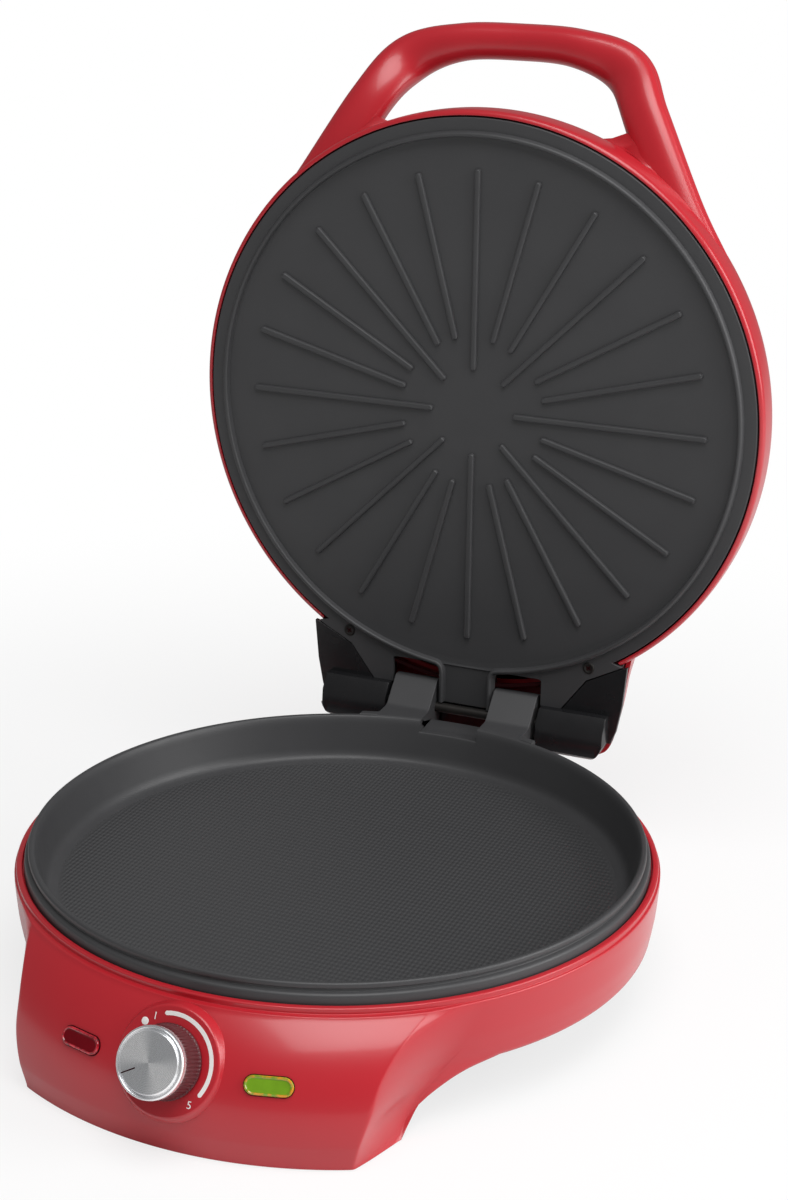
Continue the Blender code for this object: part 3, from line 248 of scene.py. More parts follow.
def flank_foot(z):
    return through([(0, 34.0), (2, 34.3), (8, 35.3), (14, 36.7), (30, 41.5), (50, 46.0), (66, 49.0)], z)


def skin_radius(angle, z):
    """Radius of the skin: the panel's inside its edge, the band's past the flank's foot, and between them a
    sweep, nearly straight at the floor and more hollow higher up, blended over the edge by a soft minimum."""
    edge, foot = panel_edge(z), flank_foot(z)
    power = through([(0, 1.1), (6, 1.2), (20, 1.7), (40, 1.9), (66, 1.9)], z)
    share = np.clip((foot - angle) / (foot - edge), 0, 3) ** power
    soft = 0.5 * (share + 1) - 0.5 * np.sqrt((share - 1) ** 2 + 0.0012)
    low = 0.5 * (0 + 1) - 0.5 * np.sqrt(1 + 0.0012)
    soft = np.clip((soft - low) / (1 - low), 0, 1)
    return band_radius(z) + (panel_radius(z) - band_radius(z)) * soft


dense = np.linspace(0, 1, 13)
edge_shares = np.concatenate([np.linspace(0, 0.9, 20), 1 - 0.1 * (1 - dense[1:]) ** 1.5])
zones = [(edge_shares, 0), (dense[1:] ** 1.5 * 0.3, 1), (np.linspace(0.3, 1, 16)[1:], 1),
         (np.linspace(0, 1, 19)[1:], 2), (np.linspace(0, 1, 81)[1:], 3)]
share = np.concatenate([shares for shares, zone in zones])
zone = np.concatenate([np.full(len(shares), number) for shares, number in zones])
low = np.where(zone < 2, SHELL_LOW, np.where(zone == 3, BAND_Z, through(
    [(0, SHELL_LOW), (0.012, 6.5), (0.05, 12.0), (0.167, 18.8), (0.336, 24.2), (0.55, 27.2), (1.0, BAND_Z)],
    np.clip(share, 0, 1))))
blend = (low - SHELL_LOW) / (BAND_Z - SHELL_LOW)
leg_levels = np.concatenate([[SHELL_LOW, 0.8, 1.8], np.linspace(3, 11.5, 5), np.linspace(11.9, 13.1, 7),
                             np.linspace(14, 63.4, 36)])
band_levels = np.concatenate([BAND_Z + 3.2 * np.linspace(0, 1, 9) ** 1.6,
                              np.linspace(34.0, 63.4, len(leg_levels) - 9)])
levels = leg_levels[None, :] + (band_levels - leg_levels)[None, :] * blend[:, None]


def column_angle(z):
    """Angle of each upright column at a height: the columns lean so that they follow the edge lines."""
    edge, foot = panel_edge(z), flank_foot(z)
    shares, region = share[:, None], zone[:, None]
    return np.where(region == 0, edge * shares, np.where(region == 1, edge + (foot - edge) * shares, np.where(
        region == 2, foot + (52.0 - foot) * shares, 52.0 + 128.0 * shares)))


angles = column_angle(levels)
rolled = 2.0 * (1 - np.sqrt(1 - (1 - np.clip((levels - low[:, None]) / 3.0, 0, 1)) ** 2)) * blend[:, None]
radii = skin_radius(angles, levels) - rolled
ledge = np.array([(0.15, 63.75), (0.45, 63.95), (0.8, 64.0)])
RIM = rounded([(164.2, 64.0), (163.9, 64.1), (163.9, 66.6), (163.0, 67.0), (161.2, 67.0), (160.8, 66.7), (160.8, 64.2),
               (157.4, 64.2), (157.4, 61.5)], [0, 0.2, 0.5, 0.5, 0.4, 0.3, 0.2, 0.3, 0], 4, closed=False)[1:]
rim_angle = np.repeat(angles[:, -1:], len(ledge) + len(RIM), 1)
inner_levels = levels[:, [40, 30, 18, 8, 0]]
inner_angles = column_angle(inner_levels)
inner_radii = skin_radius(inner_angles, inner_levels) - SHELL_WALL
radius = np.concatenate([radii, radii[:, -1:] - ledge[None, :, 0], np.repeat(RIM[None, :, 0], len(share), 0),
                         inner_radii], 1)
rim_height = np.concatenate([ledge[:, 1], RIM[:, 1]])
height = np.concatenate([levels, np.repeat(rim_height[None, :], len(share), 0), inner_levels], 1)
turn = np.radians(np.concatenate([angles, rim_angle, inner_angles], 1))
half = np.stack([radius * np.sin(turn), -radius * np.cos(turn), height], -1)
shell_grid = np.concatenate([half, (half * (-1, 1, 1))[-2:0:-1]])
base_shell = skin("red_base_shell", [(shell_grid, True, True, False)], red, "base", sharp=50)
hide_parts("base_shell")


# Dial boss: a flat round land raised on the panel behind the knob, moulded with the shell.
# Glossy red like the shell. Its white arc, dot and numbers are printed, a few hundredths of a millimetre thick.
def lathe(profile, steps=120, closed=True):
    """A profile of (radius, height) pairs turned about the Z axis, as one patch."""
    turn = np.linspace(0, 2 * math.pi, steps, endpoint=False)[:, None]
    radius, height = np.array(profile, float).T[:, None, :]
    grid = np.stack([radius * np.sin(turn), -radius * np.cos(turn), height + 0 * turn], -1)
    return grid, True, closed, False


def facing(point, normal):
    """The turn and place that put local Z along a normal and local X level."""
    normal = np.array(normal, float) / np.linalg.norm(normal)
    level = np.cross((0, 0, 1), normal)
    level /= np.linalg.norm(level)
    return np.stack([level, np.cross(normal, level), normal]), np.array(point, float)


def put(patch, stand):
    grid, *rest = patch
    return (grid @ stand[0] + stand[1], *rest)


tilt = math.asin(30.5 / 62.4) - math.radians(2.0)
dial_normal = np.array([0, -math.cos(tilt), math.sin(tilt)])
DIAL = facing(np.array([0, -float(panel_radius(np.array(43.0))), 43.0]) + dial_normal * 0.9, dial_normal)
boss_profile = rounded([(0, 0), (24.8, 0), (25.6, -0.6), (27.4, -4.4), (27.4, -5.6), (0, -5.6)],
                       [0, 0.5, 0.6, 0.5, 0, 0], 6)
skin("dial_boss", [put(lathe(boss_profile), DIAL)], red, "base", sharp=50)

white, shader, spot = finish("printed_white", (0.86, 0.84, 0.82), 0.45)
drive(shader, Base_Color=spot.noise(300.0).colours((0.83, 0.81, 0.79), (0.9, 0.88, 0.86)))


def print_band(name, start, end, inner, outer, lift=0.06, steps=90):
    """A flat printed arc with round ends: its half width follows a circle near each end."""
    turn = np.radians(np.linspace(start, end, steps))
    middle, reach = (inner + outer) / 2, (outer - inner) / 2
    along = np.minimum(np.arange(steps), np.arange(steps)[::-1]) * abs(turn[1] - turn[0]) * middle
    width = reach * np.sqrt(1 - np.clip(1 - along / reach, 0, 1) ** 2)
    rows = []
    for side, height in ((-1, 0.0), (-1, lift), (1, lift), (1, 0.0)):
        r = middle + side * width
        rows.append(np.stack([r * np.cos(turn), r * np.sin(turn), height + 0 * turn], -1))
    return skin(name, [put((np.stack(rows), True, False, False), DIAL)], white, "base")


print_band("dial_arc", 106, -34, 20.6, 22.6)
dot = lathe([(0, 0.07), (1.6, 0.07), (1.8, 0.0), (1.6, -0.3), (0, -0.3)], 32)
dot_place = np.array([21.4 * math.cos(math.radians(134)), 21.4 * math.sin(math.radians(134)), 0.0])
skin("dial_dot", [put((dot[0] + dot_place, *dot[1:]), DIAL)], white, "base")


def number(name, digits, at, height=3.6):
    """A plain number printed on the boss: Blender's own letter outlines, filled, as a thin mesh."""
    curve = bpy.data.curves.new(name, "FONT")
    curve.body = digits
    curve.size = height * 1.38
    curve.align_x, curve.align_y = "CENTER", "CENTER"
    curve.extrude = 0.03
    curve.resolution_u = 4
    text = bpy.data.objects.new(name, curve)
    bpy.context.scene.collection.objects.link(text)
    bpy.context.view_layer.update()
    mesh = bpy.data.meshes.new_from_object(text.evaluated_get(bpy.context.evaluated_depsgraph_get()))
    bpy.data.objects.remove(text, do_unlink=True)
    bpy.data.curves.remove(curve)
    points = np.zeros(len(mesh.vertices) * 3)
    mesh.vertices.foreach_get("co", points)
    points = points.reshape(-1, 3) + (*at, 0.03)
    mesh.vertices.foreach_set("co", metres(points @ DIAL[0] + DIAL[1]).ravel())
    mesh.materials.clear()
    mesh.materials.append(white)
    piece = bpy.data.objects.new(name, mesh)
    bpy.context.scene.collection.objects.link(piece)
    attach(piece, "base")


for digits, angle, reach in (("0", 224, 23.0), ("1", 119, 21.2), ("5", -49, 22.0)):
    number(f"dial_mark_{digits}", digits,
           (reach * math.cos(math.radians(angle)), reach * math.sin(math.radians(angle))))


# Lamp lenses: a red and a green pill-shaped window, pressed into the panel from behind.
# Clear tinted plastic over a small lamp, drawn opaque: dark in the middle, with a painted highlight and painted glints
# along the moulded edge, and a ring of painted shade in the gap around it.
def pill(length, width, steps=14):
    reach = (length - width) / 2
    half = np.linspace(-math.pi / 2, math.pi / 2, steps)
    right = np.stack([reach + width / 2 * np.cos(half), width / 2 * np.sin(half)], -1)
    return np.concatenate([right, -right])


def pill_layers(length, width, layers):
    """Stacked pill outlines; each layer is (height, growth of the outline)."""
    rows = []
    for height, grow in layers:
        outline = pill(length + 2 * grow, width + 2 * grow)
        rows.append(np.column_stack([outline, np.full(len(outline), height)]))
    return np.stack(rows), False, True, True


def lens_stand(side):
    tilt = math.asin(27.3 / 62.4)
    turn = math.radians(14.8) * side
    normal = (math.sin(turn) * math.cos(tilt), -math.cos(turn) * math.cos(tilt), math.sin(tilt))
    radius = float(panel_radius(np.array(39.8)))
    return facing((radius * math.sin(turn), -radius * math.cos(turn), 39.8), normal)


# Near-black finish: painted shade for the dark gaps around the lenses and the lid plate and for the screws' cross
# recesses; it is also the real filled line of the knob's pointer.
seam, shader, spot = finish("seam_shadow", (0.02, 0.002, 0.002), 0.7, specular=0.1)
drive(shader, Base_Color=spot.noise(200.0).colours((0.012, 0.001, 0.002), (0.028, 0.002, 0.003)))
for side, name, slot, dark, painted_glint in (
        (-1, "power_lens", "red_lens", (0.14, 0.002, 0.006), (0.55, 0.02, 0.035)),
        (1, "ready_lens", "green_lens", (0.15, 0.30, 0.015), (0.62, 0.25, 0.01))):
    stand = lens_stand(side)
    tinted, shader, spot = finish(name + "_tint", dark, 0.15, coat=0.1, coat_roughness=0.05, specular=0.1)
    drive(shader, Base_Color=spot.noise(120.0).colours(tuple(0.8 * c for c in dark), tuple(1.25 * c for c in dark)))
    layers = [(-3.0, 0.0), (0.3, 0.0), (0.7, -0.25), (0.95, -0.7), (1.0, -1.1),
              (0.85, -1.5), (0.8, -2.2), (0.8, -4.0)]
    lens = skin("lamp_" + name, [put(pill_layers(22.8, 9.0, layers), stand)], tinted, "base", sharp=60)
    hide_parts(name)
    # Painted highlight: the edge ring's colour steps between the tint and a bright glint colour in noise-shaped
    # sparkles.
    edge, shader, spot = finish(name + "_edge", painted_glint, 0.1, coat=0.8, coat_roughness=0.03)
    drive(shader, Base_Color=spot.noise(400.0).step(0.35, 0.65).colours(dark, painted_glint))
    # The gap ring is painted shade between the lens and the red plastic; the edge ring carries the painted highlight.
    for part, ring, material, where in (
            ("gap", [(-1.0, 0.35), (0.04, 0.35), (0.08, 0.2), (0.04, 0.0), (-1.0, 0.0)], seam, "red_plastic"),
            ("edge", [(0.1, 0.0), (0.75, -0.05), (1.2, -0.4), (1.3, -0.9), (1.0, -1.3),
                     (0.5, -1.2)], edge, slot)):
        rows, *_ = pill_layers(22.8, 9.0, ring)
        skin(f"{name}_{part}", [put((rows, True, True, False), stand)], material, "base")


# Knob: a knurled maroon skirt pushed on the thermostat's flatted shaft, with a turned metal cap on its front.
# The cap is brushed in circles; the fans of light that such metal shows are painted into its colour as a painted
# reflection. A black line is filled into its pointer groove.
knurl_turn = np.linspace(0, 2 * math.pi, 480, endpoint=False)


def knurl_row(radius, height, depth):
    wave = (0.5 - 0.5 * np.cos(knurl_turn * 60)) ** 0.7
    reach = radius - depth * wave
    return np.stack([reach * np.cos(knurl_turn), reach * np.sin(knurl_turn), height + 0 * knurl_turn], -1)


maroon, shader, spot = finish("maroon_plastic", (0.075, 0.008, 0.012), 0.38)
drive(shader, Base_Color=spot.noise(60.0).colours((0.06, 0.006, 0.009), (0.09, 0.012, 0.016)),
      Roughness=spot.noise(150.0) * 0.15 + 0.3)
rows = [knurl_row(0.1, 0.6, 0), knurl_row(16.9, 0.6, 0), knurl_row(17.3, 0.8, 0), knurl_row(17.4, 1.2, 0),
        knurl_row(17.4, 2.2, 0), knurl_row(17.2, 2.6, 0.45),
        knurl_row(16.8, 8.0, 0.45), knurl_row(16.5, 13.9, 0.45),
        knurl_row(16.0, 14.4, 0.2), knurl_row(15.6, 14.5, 0), knurl_row(0.1, 14.5, 0)]
skirt = skin("knob_knurled_skirt", [put((np.stack(rows), False, True, True), DIAL)], maroon, "knob")
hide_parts("knob_skirt")

turned, shader, spot = finish("turned_metal", (0.90, 0.90, 0.92), 0.3, metallic=0.8)
local_x, local_y, local_z = spot.node(
    "ShaderNodeMapping", {"vector_type": "TEXTURE"},
    {"Vector": spot, "Location": tuple(metres(DIAL[1])), "Rotation": (math.pi / 2 - tilt, 0, 0)}).axes()
spread = (local_x * local_x + local_y * local_y) ** 0.5
turn_angle = local_y.math("ARCTAN2", local_x)
# Painted reflection: light and dark fans painted into the cap's colour around its centre, in place of brushed metal's
# reflection.
painted_reflection_fans = (turn_angle * 2.0 + 1.1).math("COSINE") * 0.5 + 0.5
rings = (spread * 9000.0).math("SINE") * 0.5 + 0.5
drive(shader, Base_Color=painted_reflection_fans.step(0.2, 0.9).colours((0.62, 0.63, 0.65), (0.97, 0.97, 0.98)),
      Roughness=rings * 0.08 + 0.26, relief=(rings, 0.000004))
cap_profile = rounded([(0, 14.8), (15.8, 14.8), (16.6, 15.5), (16.6, 18.5), (15.9, 19.3), (15.4, 19.2), (14.9, 18.6),
                       (13.9, 19.7), (0, 19.7)], [0, 0.3, 0.4, 0.4, 0.3, 0.3, 0.2, 0.2, 0], 5)
cap = skin("knob_metal_cap", [put(lathe(cap_profile, 160), DIAL)], turned, "knob", sharp=30)
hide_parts("knob_cap")
line = np.array([(-14.0, -0.3), (-6.8, -0.3), (-6.8, 0.3), (-14.0, 0.3)])
c, s = math.cos(math.radians(30)), math.sin(math.radians(30))
line = line @ np.array([[c, s], [-s, c]])
pointer = np.stack([np.column_stack([line, np.full(4, z)]) for z in (19.6, 19.76)])
skin("knob_pointer", [put((pointer, False, True, True), DIAL)], seam, "knob")


# Baking pan: a spun aluminium casting in the shell, with a stepped lip, two hinge posts, side blocks and a chute.
# Dark grey non-stick coating; the floor carries a fine pattern of small diamonds pressed into the casting.
coated, shader, spot = finish("non_stick_coating", (0.045, 0.045, 0.047), 0.42, specular=0.4)
drive(shader, Base_Color=spot.noise(25.0).colours((0.040, 0.040, 0.042), (0.052, 0.052, 0.054)),
      Roughness=spot.noise(90.0) * 0.12 + 0.38, relief=(spot.noise(2500.0, 2.0), 0.00002))

floor_coat, shader, spot = finish("diamond_floor", (0.05, 0.05, 0.052), 0.42)
flat_x, flat_y, _ = spot.axes()
across, along = flat_x * 1309.0, flat_y * 873.0
diamonds = (across + along).math("SINE") * (across - along).math("SINE")
reach = (flat_x * flat_x + (flat_y + 0.01968) * (flat_y + 0.01968)) ** 0.5
shown = 1.0 - reach.step(0.140, 0.144)
drive(shader, Base_Color=(diamonds * shown * 0.5 + 0.5).colours((0.040, 0.040, 0.042), (0.058, 0.058, 0.060)),
      Roughness=spot.noise(60.0) * 0.1 + 0.36, relief=(diamonds * shown, 0.0002))
pan_corners = [0, 2.0, 2.5, 3, 0.7, 0.4, 0.4, 0.4, 0.3, 0.3, 0.4, 0.5, 0.6, 0.4, 0.3, 0.5, 1, 1, 1, 0]
lip = rounded([
    (143.6, 50.6), (148.1, 51.9), (149.9, 55.2), (153.6, 73.6), (154.7, 75.8), (155.4, 76.1), (156.9, 76.1),
    (157.6, 75.4), (157.7, 73.6), (156.9, 73.2), (156.9, 71.8), (158.6, 71.4), (159.5, 70.6), (160.0, 66.9),
    (160.0, 64.5), (156.4, 64.5), (155.6, 63.4), (152.3, 54.2), (150.4, 50.0), (144.5, 48.0)],
    pan_corners, 5, closed=False)
chute = rounded([
    (143.6, 50.6), (148.1, 51.9), (149.9, 55.2), (152.2, 66.6), (152.9, 69.3), (156.5, 69.0), (160.0, 69.0),
    (165.0, 69.6), (171.5, 70.0), (172.0, 69.6), (172.0, 68.6), (171.4, 67.6), (165.0, 67.5), (160.2, 67.2),
    (160.0, 64.5), (156.4, 64.5), (155.6, 63.4), (152.3, 54.2), (150.4, 50.0), (144.5, 48.0)],
    pan_corners, 5, closed=False)
CHUTE_SIDE = 17.4


def beside(profile, x):
    """A profile of (radius, height) standing at given distances from the middle plane, behind the pan's axis:
    y is the root of radius squared less x squared."""
    x = np.asarray(x, float)[:, None] + 0 * profile[None, :, 0]
    return np.stack([x, np.sqrt(profile[None, :, 0] ** 2 - x ** 2), profile[None, :, 1] + 0 * x], -1)


turn = np.radians(np.linspace(8.6, 351.4, 231))[:, None]
ring = np.stack([lip[None, :, 0] * np.sin(turn), lip[None, :, 0] * np.cos(turn), lip[None, :, 1] + 0 * turn], -1)
pan_grid = np.concatenate([beside(lip, [CHUTE_SIDE]), ring, beside(lip, [-CHUTE_SIDE]),
                           beside(chute, np.linspace(-CHUTE_SIDE, CHUTE_SIDE, 15))])
pan = skin("pan_wall", [(pan_grid, True, True, False)], coated, "base", sharp=35)
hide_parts("lower_plate")
floor_profile = [(0, 50.6), (60, 50.6), (120, 50.6), (143.8, 50.6), (143.8, 48.2), (0, 48.2)]
skin("pan_floor", [lathe(floor_profile, 240)], floor_coat, "base", sharp=35)

HINGE_Y, HINGE_Z = 178.2, 75.1


def prism(outline, low, high, axis="X"):
    """An outline pushed along an axis: (y, z) pairs along X, or (x, y) pairs along Z."""
    outline = np.array(outline, float)
    level = np.array([low, high])[:, None]
    if axis == "X":
        grid = [level + 0 * outline[None, :, 0], outline[None, :, 0] + 0 * level, outline[None, :, 1] + 0 * level]
    else:
        grid = [outline[None, :, 0] + 0 * level, outline[None, :, 1] + 0 * level, level + 0 * outline[None, :, 0]]
    return np.stack(grid, -1), False, True, True


def arc(centre, radius, start, end, steps):
    turn = np.radians(np.linspace(start, end, steps + 1))
    return [(centre[0] + radius * math.cos(a), centre[1] + radius * math.sin(a)) for a in turn]


def standing(outline, near, far, back):
    """A block behind the lip: the outline of (y, z) pairs pushed along X, whose front follows the round lip and
    whose rear is straight from a distance back."""
    outline = np.array(outline, float)
    x = np.linspace(near, far, 13)[:, None]
    share = np.clip((back - outline[None, :, 0]) / 9.0, 0, 1)
    y = outline[None, :, 0] + share * (np.sqrt(155.0 ** 2 - x ** 2) - 155.0)
    return np.stack([x + 0 * y, y, outline[None, :, 1] + 0 * y], -1), False, True, True


post_corners = [(155.2, 69.0), (166.2, 67.5), (167.4, 62.0)] + arc((HINGE_Y, HINGE_Z), 15.0, -110, 30, 24)
post_corners += [(188.4, 88.2), (184.5, 91.0), (179.8, 91.4), (166.0, 76.6), (155.2, 76.3)]
post_outline = rounded(post_corners, [0.3, 0.3, 0.3] + [0.1] * 25 + [1.2, 1.5, 1.5, 2.0, 1.0], 4)
block_outline = rounded([(156.0, 69.0), (161.8, 69.0), (161.8, 75.2), (160.8, 76.6), (156.0, 76.6)],
                        [0, 0, 0.6, 0.6, 0.6], 4)
for side, word in ((-1, "left"), (1, "right")):
    near, far = sorted((side * 17.5, side * 43.8))
    skin(f"hinge_post_{word}", [standing(post_outline, near, far, 166)],
         coated, "base", bevel=0.8)
    near, far = sorted((side * 43.0, side * 52.8))
    skin(f"side_block_{word}", [standing(block_outline, near, far, 175)],
         coated, "base", bevel=0.6)

steel, shader, spot = finish("zinc_steel", (0.55, 0.55, 0.56), 0.32, metallic=1.0)
drive(shader, Base_Color=spot.noise(80.0).colours((0.48, 0.48, 0.50), (0.60, 0.60, 0.60)),
      Roughness=spot.noise(200.0) * 0.15 + 0.25)
browned, shader, spot = finish("browned_steel", (0.025, 0.024, 0.022), 0.5, metallic=0.6, specular=0.3)
drive(shader, Base_Color=spot.noise(150.0).colours((0.018, 0.017, 0.016), (0.035, 0.032, 0.03)))
rod_profile = rounded([(0, -84), (2.3, -84), (2.8, -83.5), (2.8, 83.5), (2.3, 84), (0, 84)], 0.2, 3)
rod = skin("hinge_rod_turned", [put(lathe(rod_profile, 32), facing((0, HINGE_Y, HINGE_Z), (1, 0, 0)))], browned,
           "base", sharp=30)
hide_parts("hinge_rod")


# Bottom cover, feet, gland and the parts inside the base: they keep their solids and get their own finishes.
# Black moulded floor with rear legs, grey rubber feet, heating ring, bright sheet reflector and switch gear.
black, shader, spot = finish("black_plastic", (0.010, 0.010, 0.011), 0.26, specular=0.45)
drive(shader, Base_Color=spot.noise(40.0).colours((0.008, 0.008, 0.009), (0.013, 0.013, 0.014)),
      Roughness=spot.noise(120.0) * 0.1 + 0.21, relief=(spot.noise(1500.0, 2.0), 0.00001))
rubber, shader, spot = finish("grey_rubber", (0.10, 0.10, 0.10), 0.8)
drive(shader, Base_Color=spot.noise(120.0).colours((0.08, 0.08, 0.08), (0.12, 0.12, 0.12)))
sheath, shader, spot = finish("heater_sheath", (0.20, 0.19, 0.18), 0.45, metallic=1.0)
drive(shader, Base_Color=spot.noise(60.0).colours((0.15, 0.14, 0.14), (0.26, 0.23, 0.20)))
bright_sheet, shader, spot = finish("aluminised_steel", (0.62, 0.62, 0.62), 0.3, metallic=1.0)
drive(shader, Roughness=spot.noise(90.0) * 0.2 + 0.2)
ceramic, shader, spot = finish("ceramic", (0.80, 0.78, 0.72), 0.5)
drive(shader, Base_Color=spot.noise(90.0).colours((0.74, 0.72, 0.66), (0.84, 0.82, 0.77)))
nylon, shader, spot = finish("natural_nylon", (0.70, 0.68, 0.60), 0.45)
drive(shader, Base_Color=spot.noise(70.0).colours((0.66, 0.64, 0.56), (0.74, 0.72, 0.64)))
for material, nodes in (
        (black, ("bottom_cover", "cord_gland")),
        (rubber, ("front_foot_left", "front_foot_right", "rear_foot_left", "rear_foot_right")),
        (sheath, ("lower_heater", "upper_heater")), (bright_sheet, ("lower_reflector", "upper_reflector")),
        (ceramic, ("thermostat_body",)), (nylon, ("terminal_block", "power_lamp_holder", "ready_lamp_holder")),
        (steel, ("lower_thermal_fuse", "upper_thermal_fuse", "thermostat_back", "thermostat_bracket",
                 "thermostat_nut", "thermostat_shaft"))):
    for node in nodes:
        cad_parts[node].material_slots[0].material = material


# Lid shell: the red dome with the hinge housing behind it, moulded with the upper half of the handle.
# Glossy red plastic, drawn open: a closed-lid point (x, y, height over the flange) swings up about the rod.
def opened(patch):
    """Closed lid to open lid: height over the flange becomes +Y behind the plate's plane, and -Y becomes +Z."""
    grid, *rest = patch
    return (np.stack([grid[..., 0], 179.7 + grid[..., 2], 253.3 - grid[..., 1]], -1), *rest)


dome_profile = rounded([
    (0, 53.0), (30, 53.0), (70, 52.2), (105, 50.2), (130, 47.0), (146, 42.4), (155.5, 36.5), (161, 29), (163.5, 20),
    (164.2, 11), (164.2, 3.0), (163.6, 1.2), (162.2, 0.4), (161.4, 0.4), (161.4, 2.6), (157.6, 2.6), (157.6, 5.0),
    (161.6, 9.0), (161, 19.5), (158.5, 27.6), (153.5, 34.4), (144.6, 39.9), (129.2, 44.4), (104.6, 47.6), (69.9, 49.6),
    (30, 50.4), (0, 50.4)],
    [0, 15, 15, 12, 9, 6, 5, 4, 4, 4, 1, 0.8, 0.5, 0.4, 0.2, 0.3, 0.3, 1, 4, 4, 4, 5, 6, 9, 9, 9, 0], 5)
dome_grid, *dome_rest = lathe(dome_profile, 360)
hinge_side = np.clip((90.5 - np.abs(dome_grid[..., 0])) / 1.5, 0, 1) * (dome_grid[..., 1] < 0)
outer_wall = np.hypot(dome_grid[..., 0], dome_grid[..., 1]) > 150
dome_grid[..., 1] *= -1
dome_grid[..., 2] = np.where(outer_wall, np.maximum(dome_grid[..., 2], 14.0 * hinge_side), dome_grid[..., 2])
dome = skin("red_lid_dome", [opened((dome_grid, *dome_rest))], red, "lid", sharp=50)
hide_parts("lid_shell")

HOUSING_WIDTH = [(64, 96.0), (112, 96.0), (137, 95.7), (160, 93.6),
                 (176, 90.6), (184, 88.2), (190, 84.8), (193.6, 79.0)]
HOUSING_ROOF = [(64, 46.4), (112, 46.4), (140, 41.0), (160, 35.0),
                (174, 28.0), (184, 19.5), (190.5, 10.5), (193.6, 4.4)]


def housing_rows(inset, bottom):
    """Cross sections of the housing from front to rear: upright walls, round shoulders and a falling roof."""
    stations = np.concatenate([np.linspace(64, 180, 26), 180 + 13.6 * np.sin(np.linspace(0, math.pi / 2, 15)[1:])])
    width = through(HOUSING_WIDTH, stations) - inset
    roof = through(HOUSING_ROOF, stations) - inset
    corner = np.minimum(13.0 - inset, 0.6 * (roof - bottom))
    turn = np.linspace(0, math.pi / 2, 9)[None, :]
    low = bottom + 12.0 * np.clip((146 - stations) / 14, 0, 1)
    x = np.concatenate([width[:, None], (width - corner)[:, None] + corner[:, None] * np.cos(turn)], 1)
    h = np.concatenate([low[:, None], (roof - corner)[:, None] + corner[:, None] * np.sin(turn)], 1)
    x -= 0.2 * np.clip(h - 3.0, 0, 30) * np.clip((stations - 120) / 30, 0, 1)[:, None]
    y = np.repeat((stations - np.where(stations > 185, inset, 0))[:, None], x.shape[1], 1)
    right = np.stack([x, y, h], -1)
    return np.concatenate([right, (right * (-1, 1, 1))[:, ::-1]], 1)


outer, inner = housing_rows(0.0, 3.1), housing_rows(2.6, 3.1)
wall = np.concatenate([outer, inner[:, ::-1]], 1)
skin("red_hinge_housing", [opened((wall, False, True, True))], red, "lid", sharp=50)

HANDLE = np.array([(122.0, -84.0, 17.0, 31.0, 15.0), (104.0, -113.0, 23.0, 29.5, 15.0),
                   (79.5, -160.0, 39.0, 24.5, 15.6),
                   (62.5, -181.8, 56.0, 26.0, 16.8), (34.0, -191.6, 59.7, 20.6, 17.3),
                   (0.0, -193.2, 61.4, 19.6, 17.4)])


def handle_rows(count):
    """Points along the handle with its width and depth: a curve through the control points whose slope at each
    is half the step between its neighbours."""
    control = np.vstack([HANDLE, HANDLE[-2::-1] * (-1, 1, 1, 1, 1)])
    data = np.vstack([2 * control[0] - control[1], control, 2 * control[-1] - control[-2]])
    s = np.linspace(0, len(data) - 3 - 1e-9, count)
    i = s.astype(int)
    t = (s - i)[:, None]
    a, b, c, d = (data[i + k] for k in range(4))
    return 0.5 * (2 * b + (c - a) * t + (2 * a - 5 * b + 4 * c - d) * t ** 2 + (3 * b - a - 3 * c + d) * t ** 3)


def handle_half(side, count=161):
    """One half of the handle: at each point a half superellipse, of power 3.3 for the shell's half and 2.3 for
    the cover's, with a small rounding at the seam."""
    rows = handle_rows(count)
    centre, width, depth = rows[:, :3], rows[:, 3, None], rows[:, 4, None]
    along = np.gradient(centre, axis=0)
    along /= np.linalg.norm(along, axis=1)[:, None]
    across = np.cross(along, (0, 0, 1))
    across /= np.linalg.norm(across, axis=1)[:, None]
    upward = np.cross(across, along)
    turn = np.linspace(0, math.pi, 33)[None, :]
    c, s = np.cos(turn), np.sin(turn)
    power = 0.6 if side > 0 else 0.87
    reach = width / 2 * np.sign(c) * np.abs(c) ** power * (1 - 0.03 * np.exp(-(s * 14) ** 2))
    rise = depth / 2 * np.abs(s) ** power + 0.08
    outside = centre[:, None] + across[:, None] * reach[..., None] + upward[:, None] * (side * rise)[..., None]
    return outside, False, True, True


down = np.linspace(0, 1, 21)
leg_line = np.stack([through([(0, a), (0.5, b), (1, c)], down) for a, b, c in (
    (72.0, 90.3, 108.8), (-153.1, -136.2, -120.6), (30.6, 22.4, 14.4))], -1)
dome_line = np.stack([through([(0, a), (0.4, b), (0.7, c), (1, d)], down) for a, b, c, d in (
    (55.0, 75.0, 92.0, 107.6), (-148.6, -144.4, -135.4, -123.4), (32.6, 23.6, 16.6, 12.0))], -1)
middle_line = 0.5 * (leg_line + dome_line) + (0, 1.2, 1.2)
web = np.stack([leg_line, middle_line, dome_line, dome_line + (-0.5, 7, 2), leg_line + (4, 4, 4)], 1)
for side, word in ((-1, "left"), (1, "right")):
    skin(f"red_handle_web_{word}", [opened((web * (side, 1, 1), False, True, True))],
         red, "lid", sharp=60)

shell_half = skin("red_handle_shell", [opened(handle_half(1))], red, "lid", sharp=50)
cover_half = skin("red_handle_cover", [opened(handle_half(-1))], red, "lid", sharp=50)
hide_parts("handle_cover")


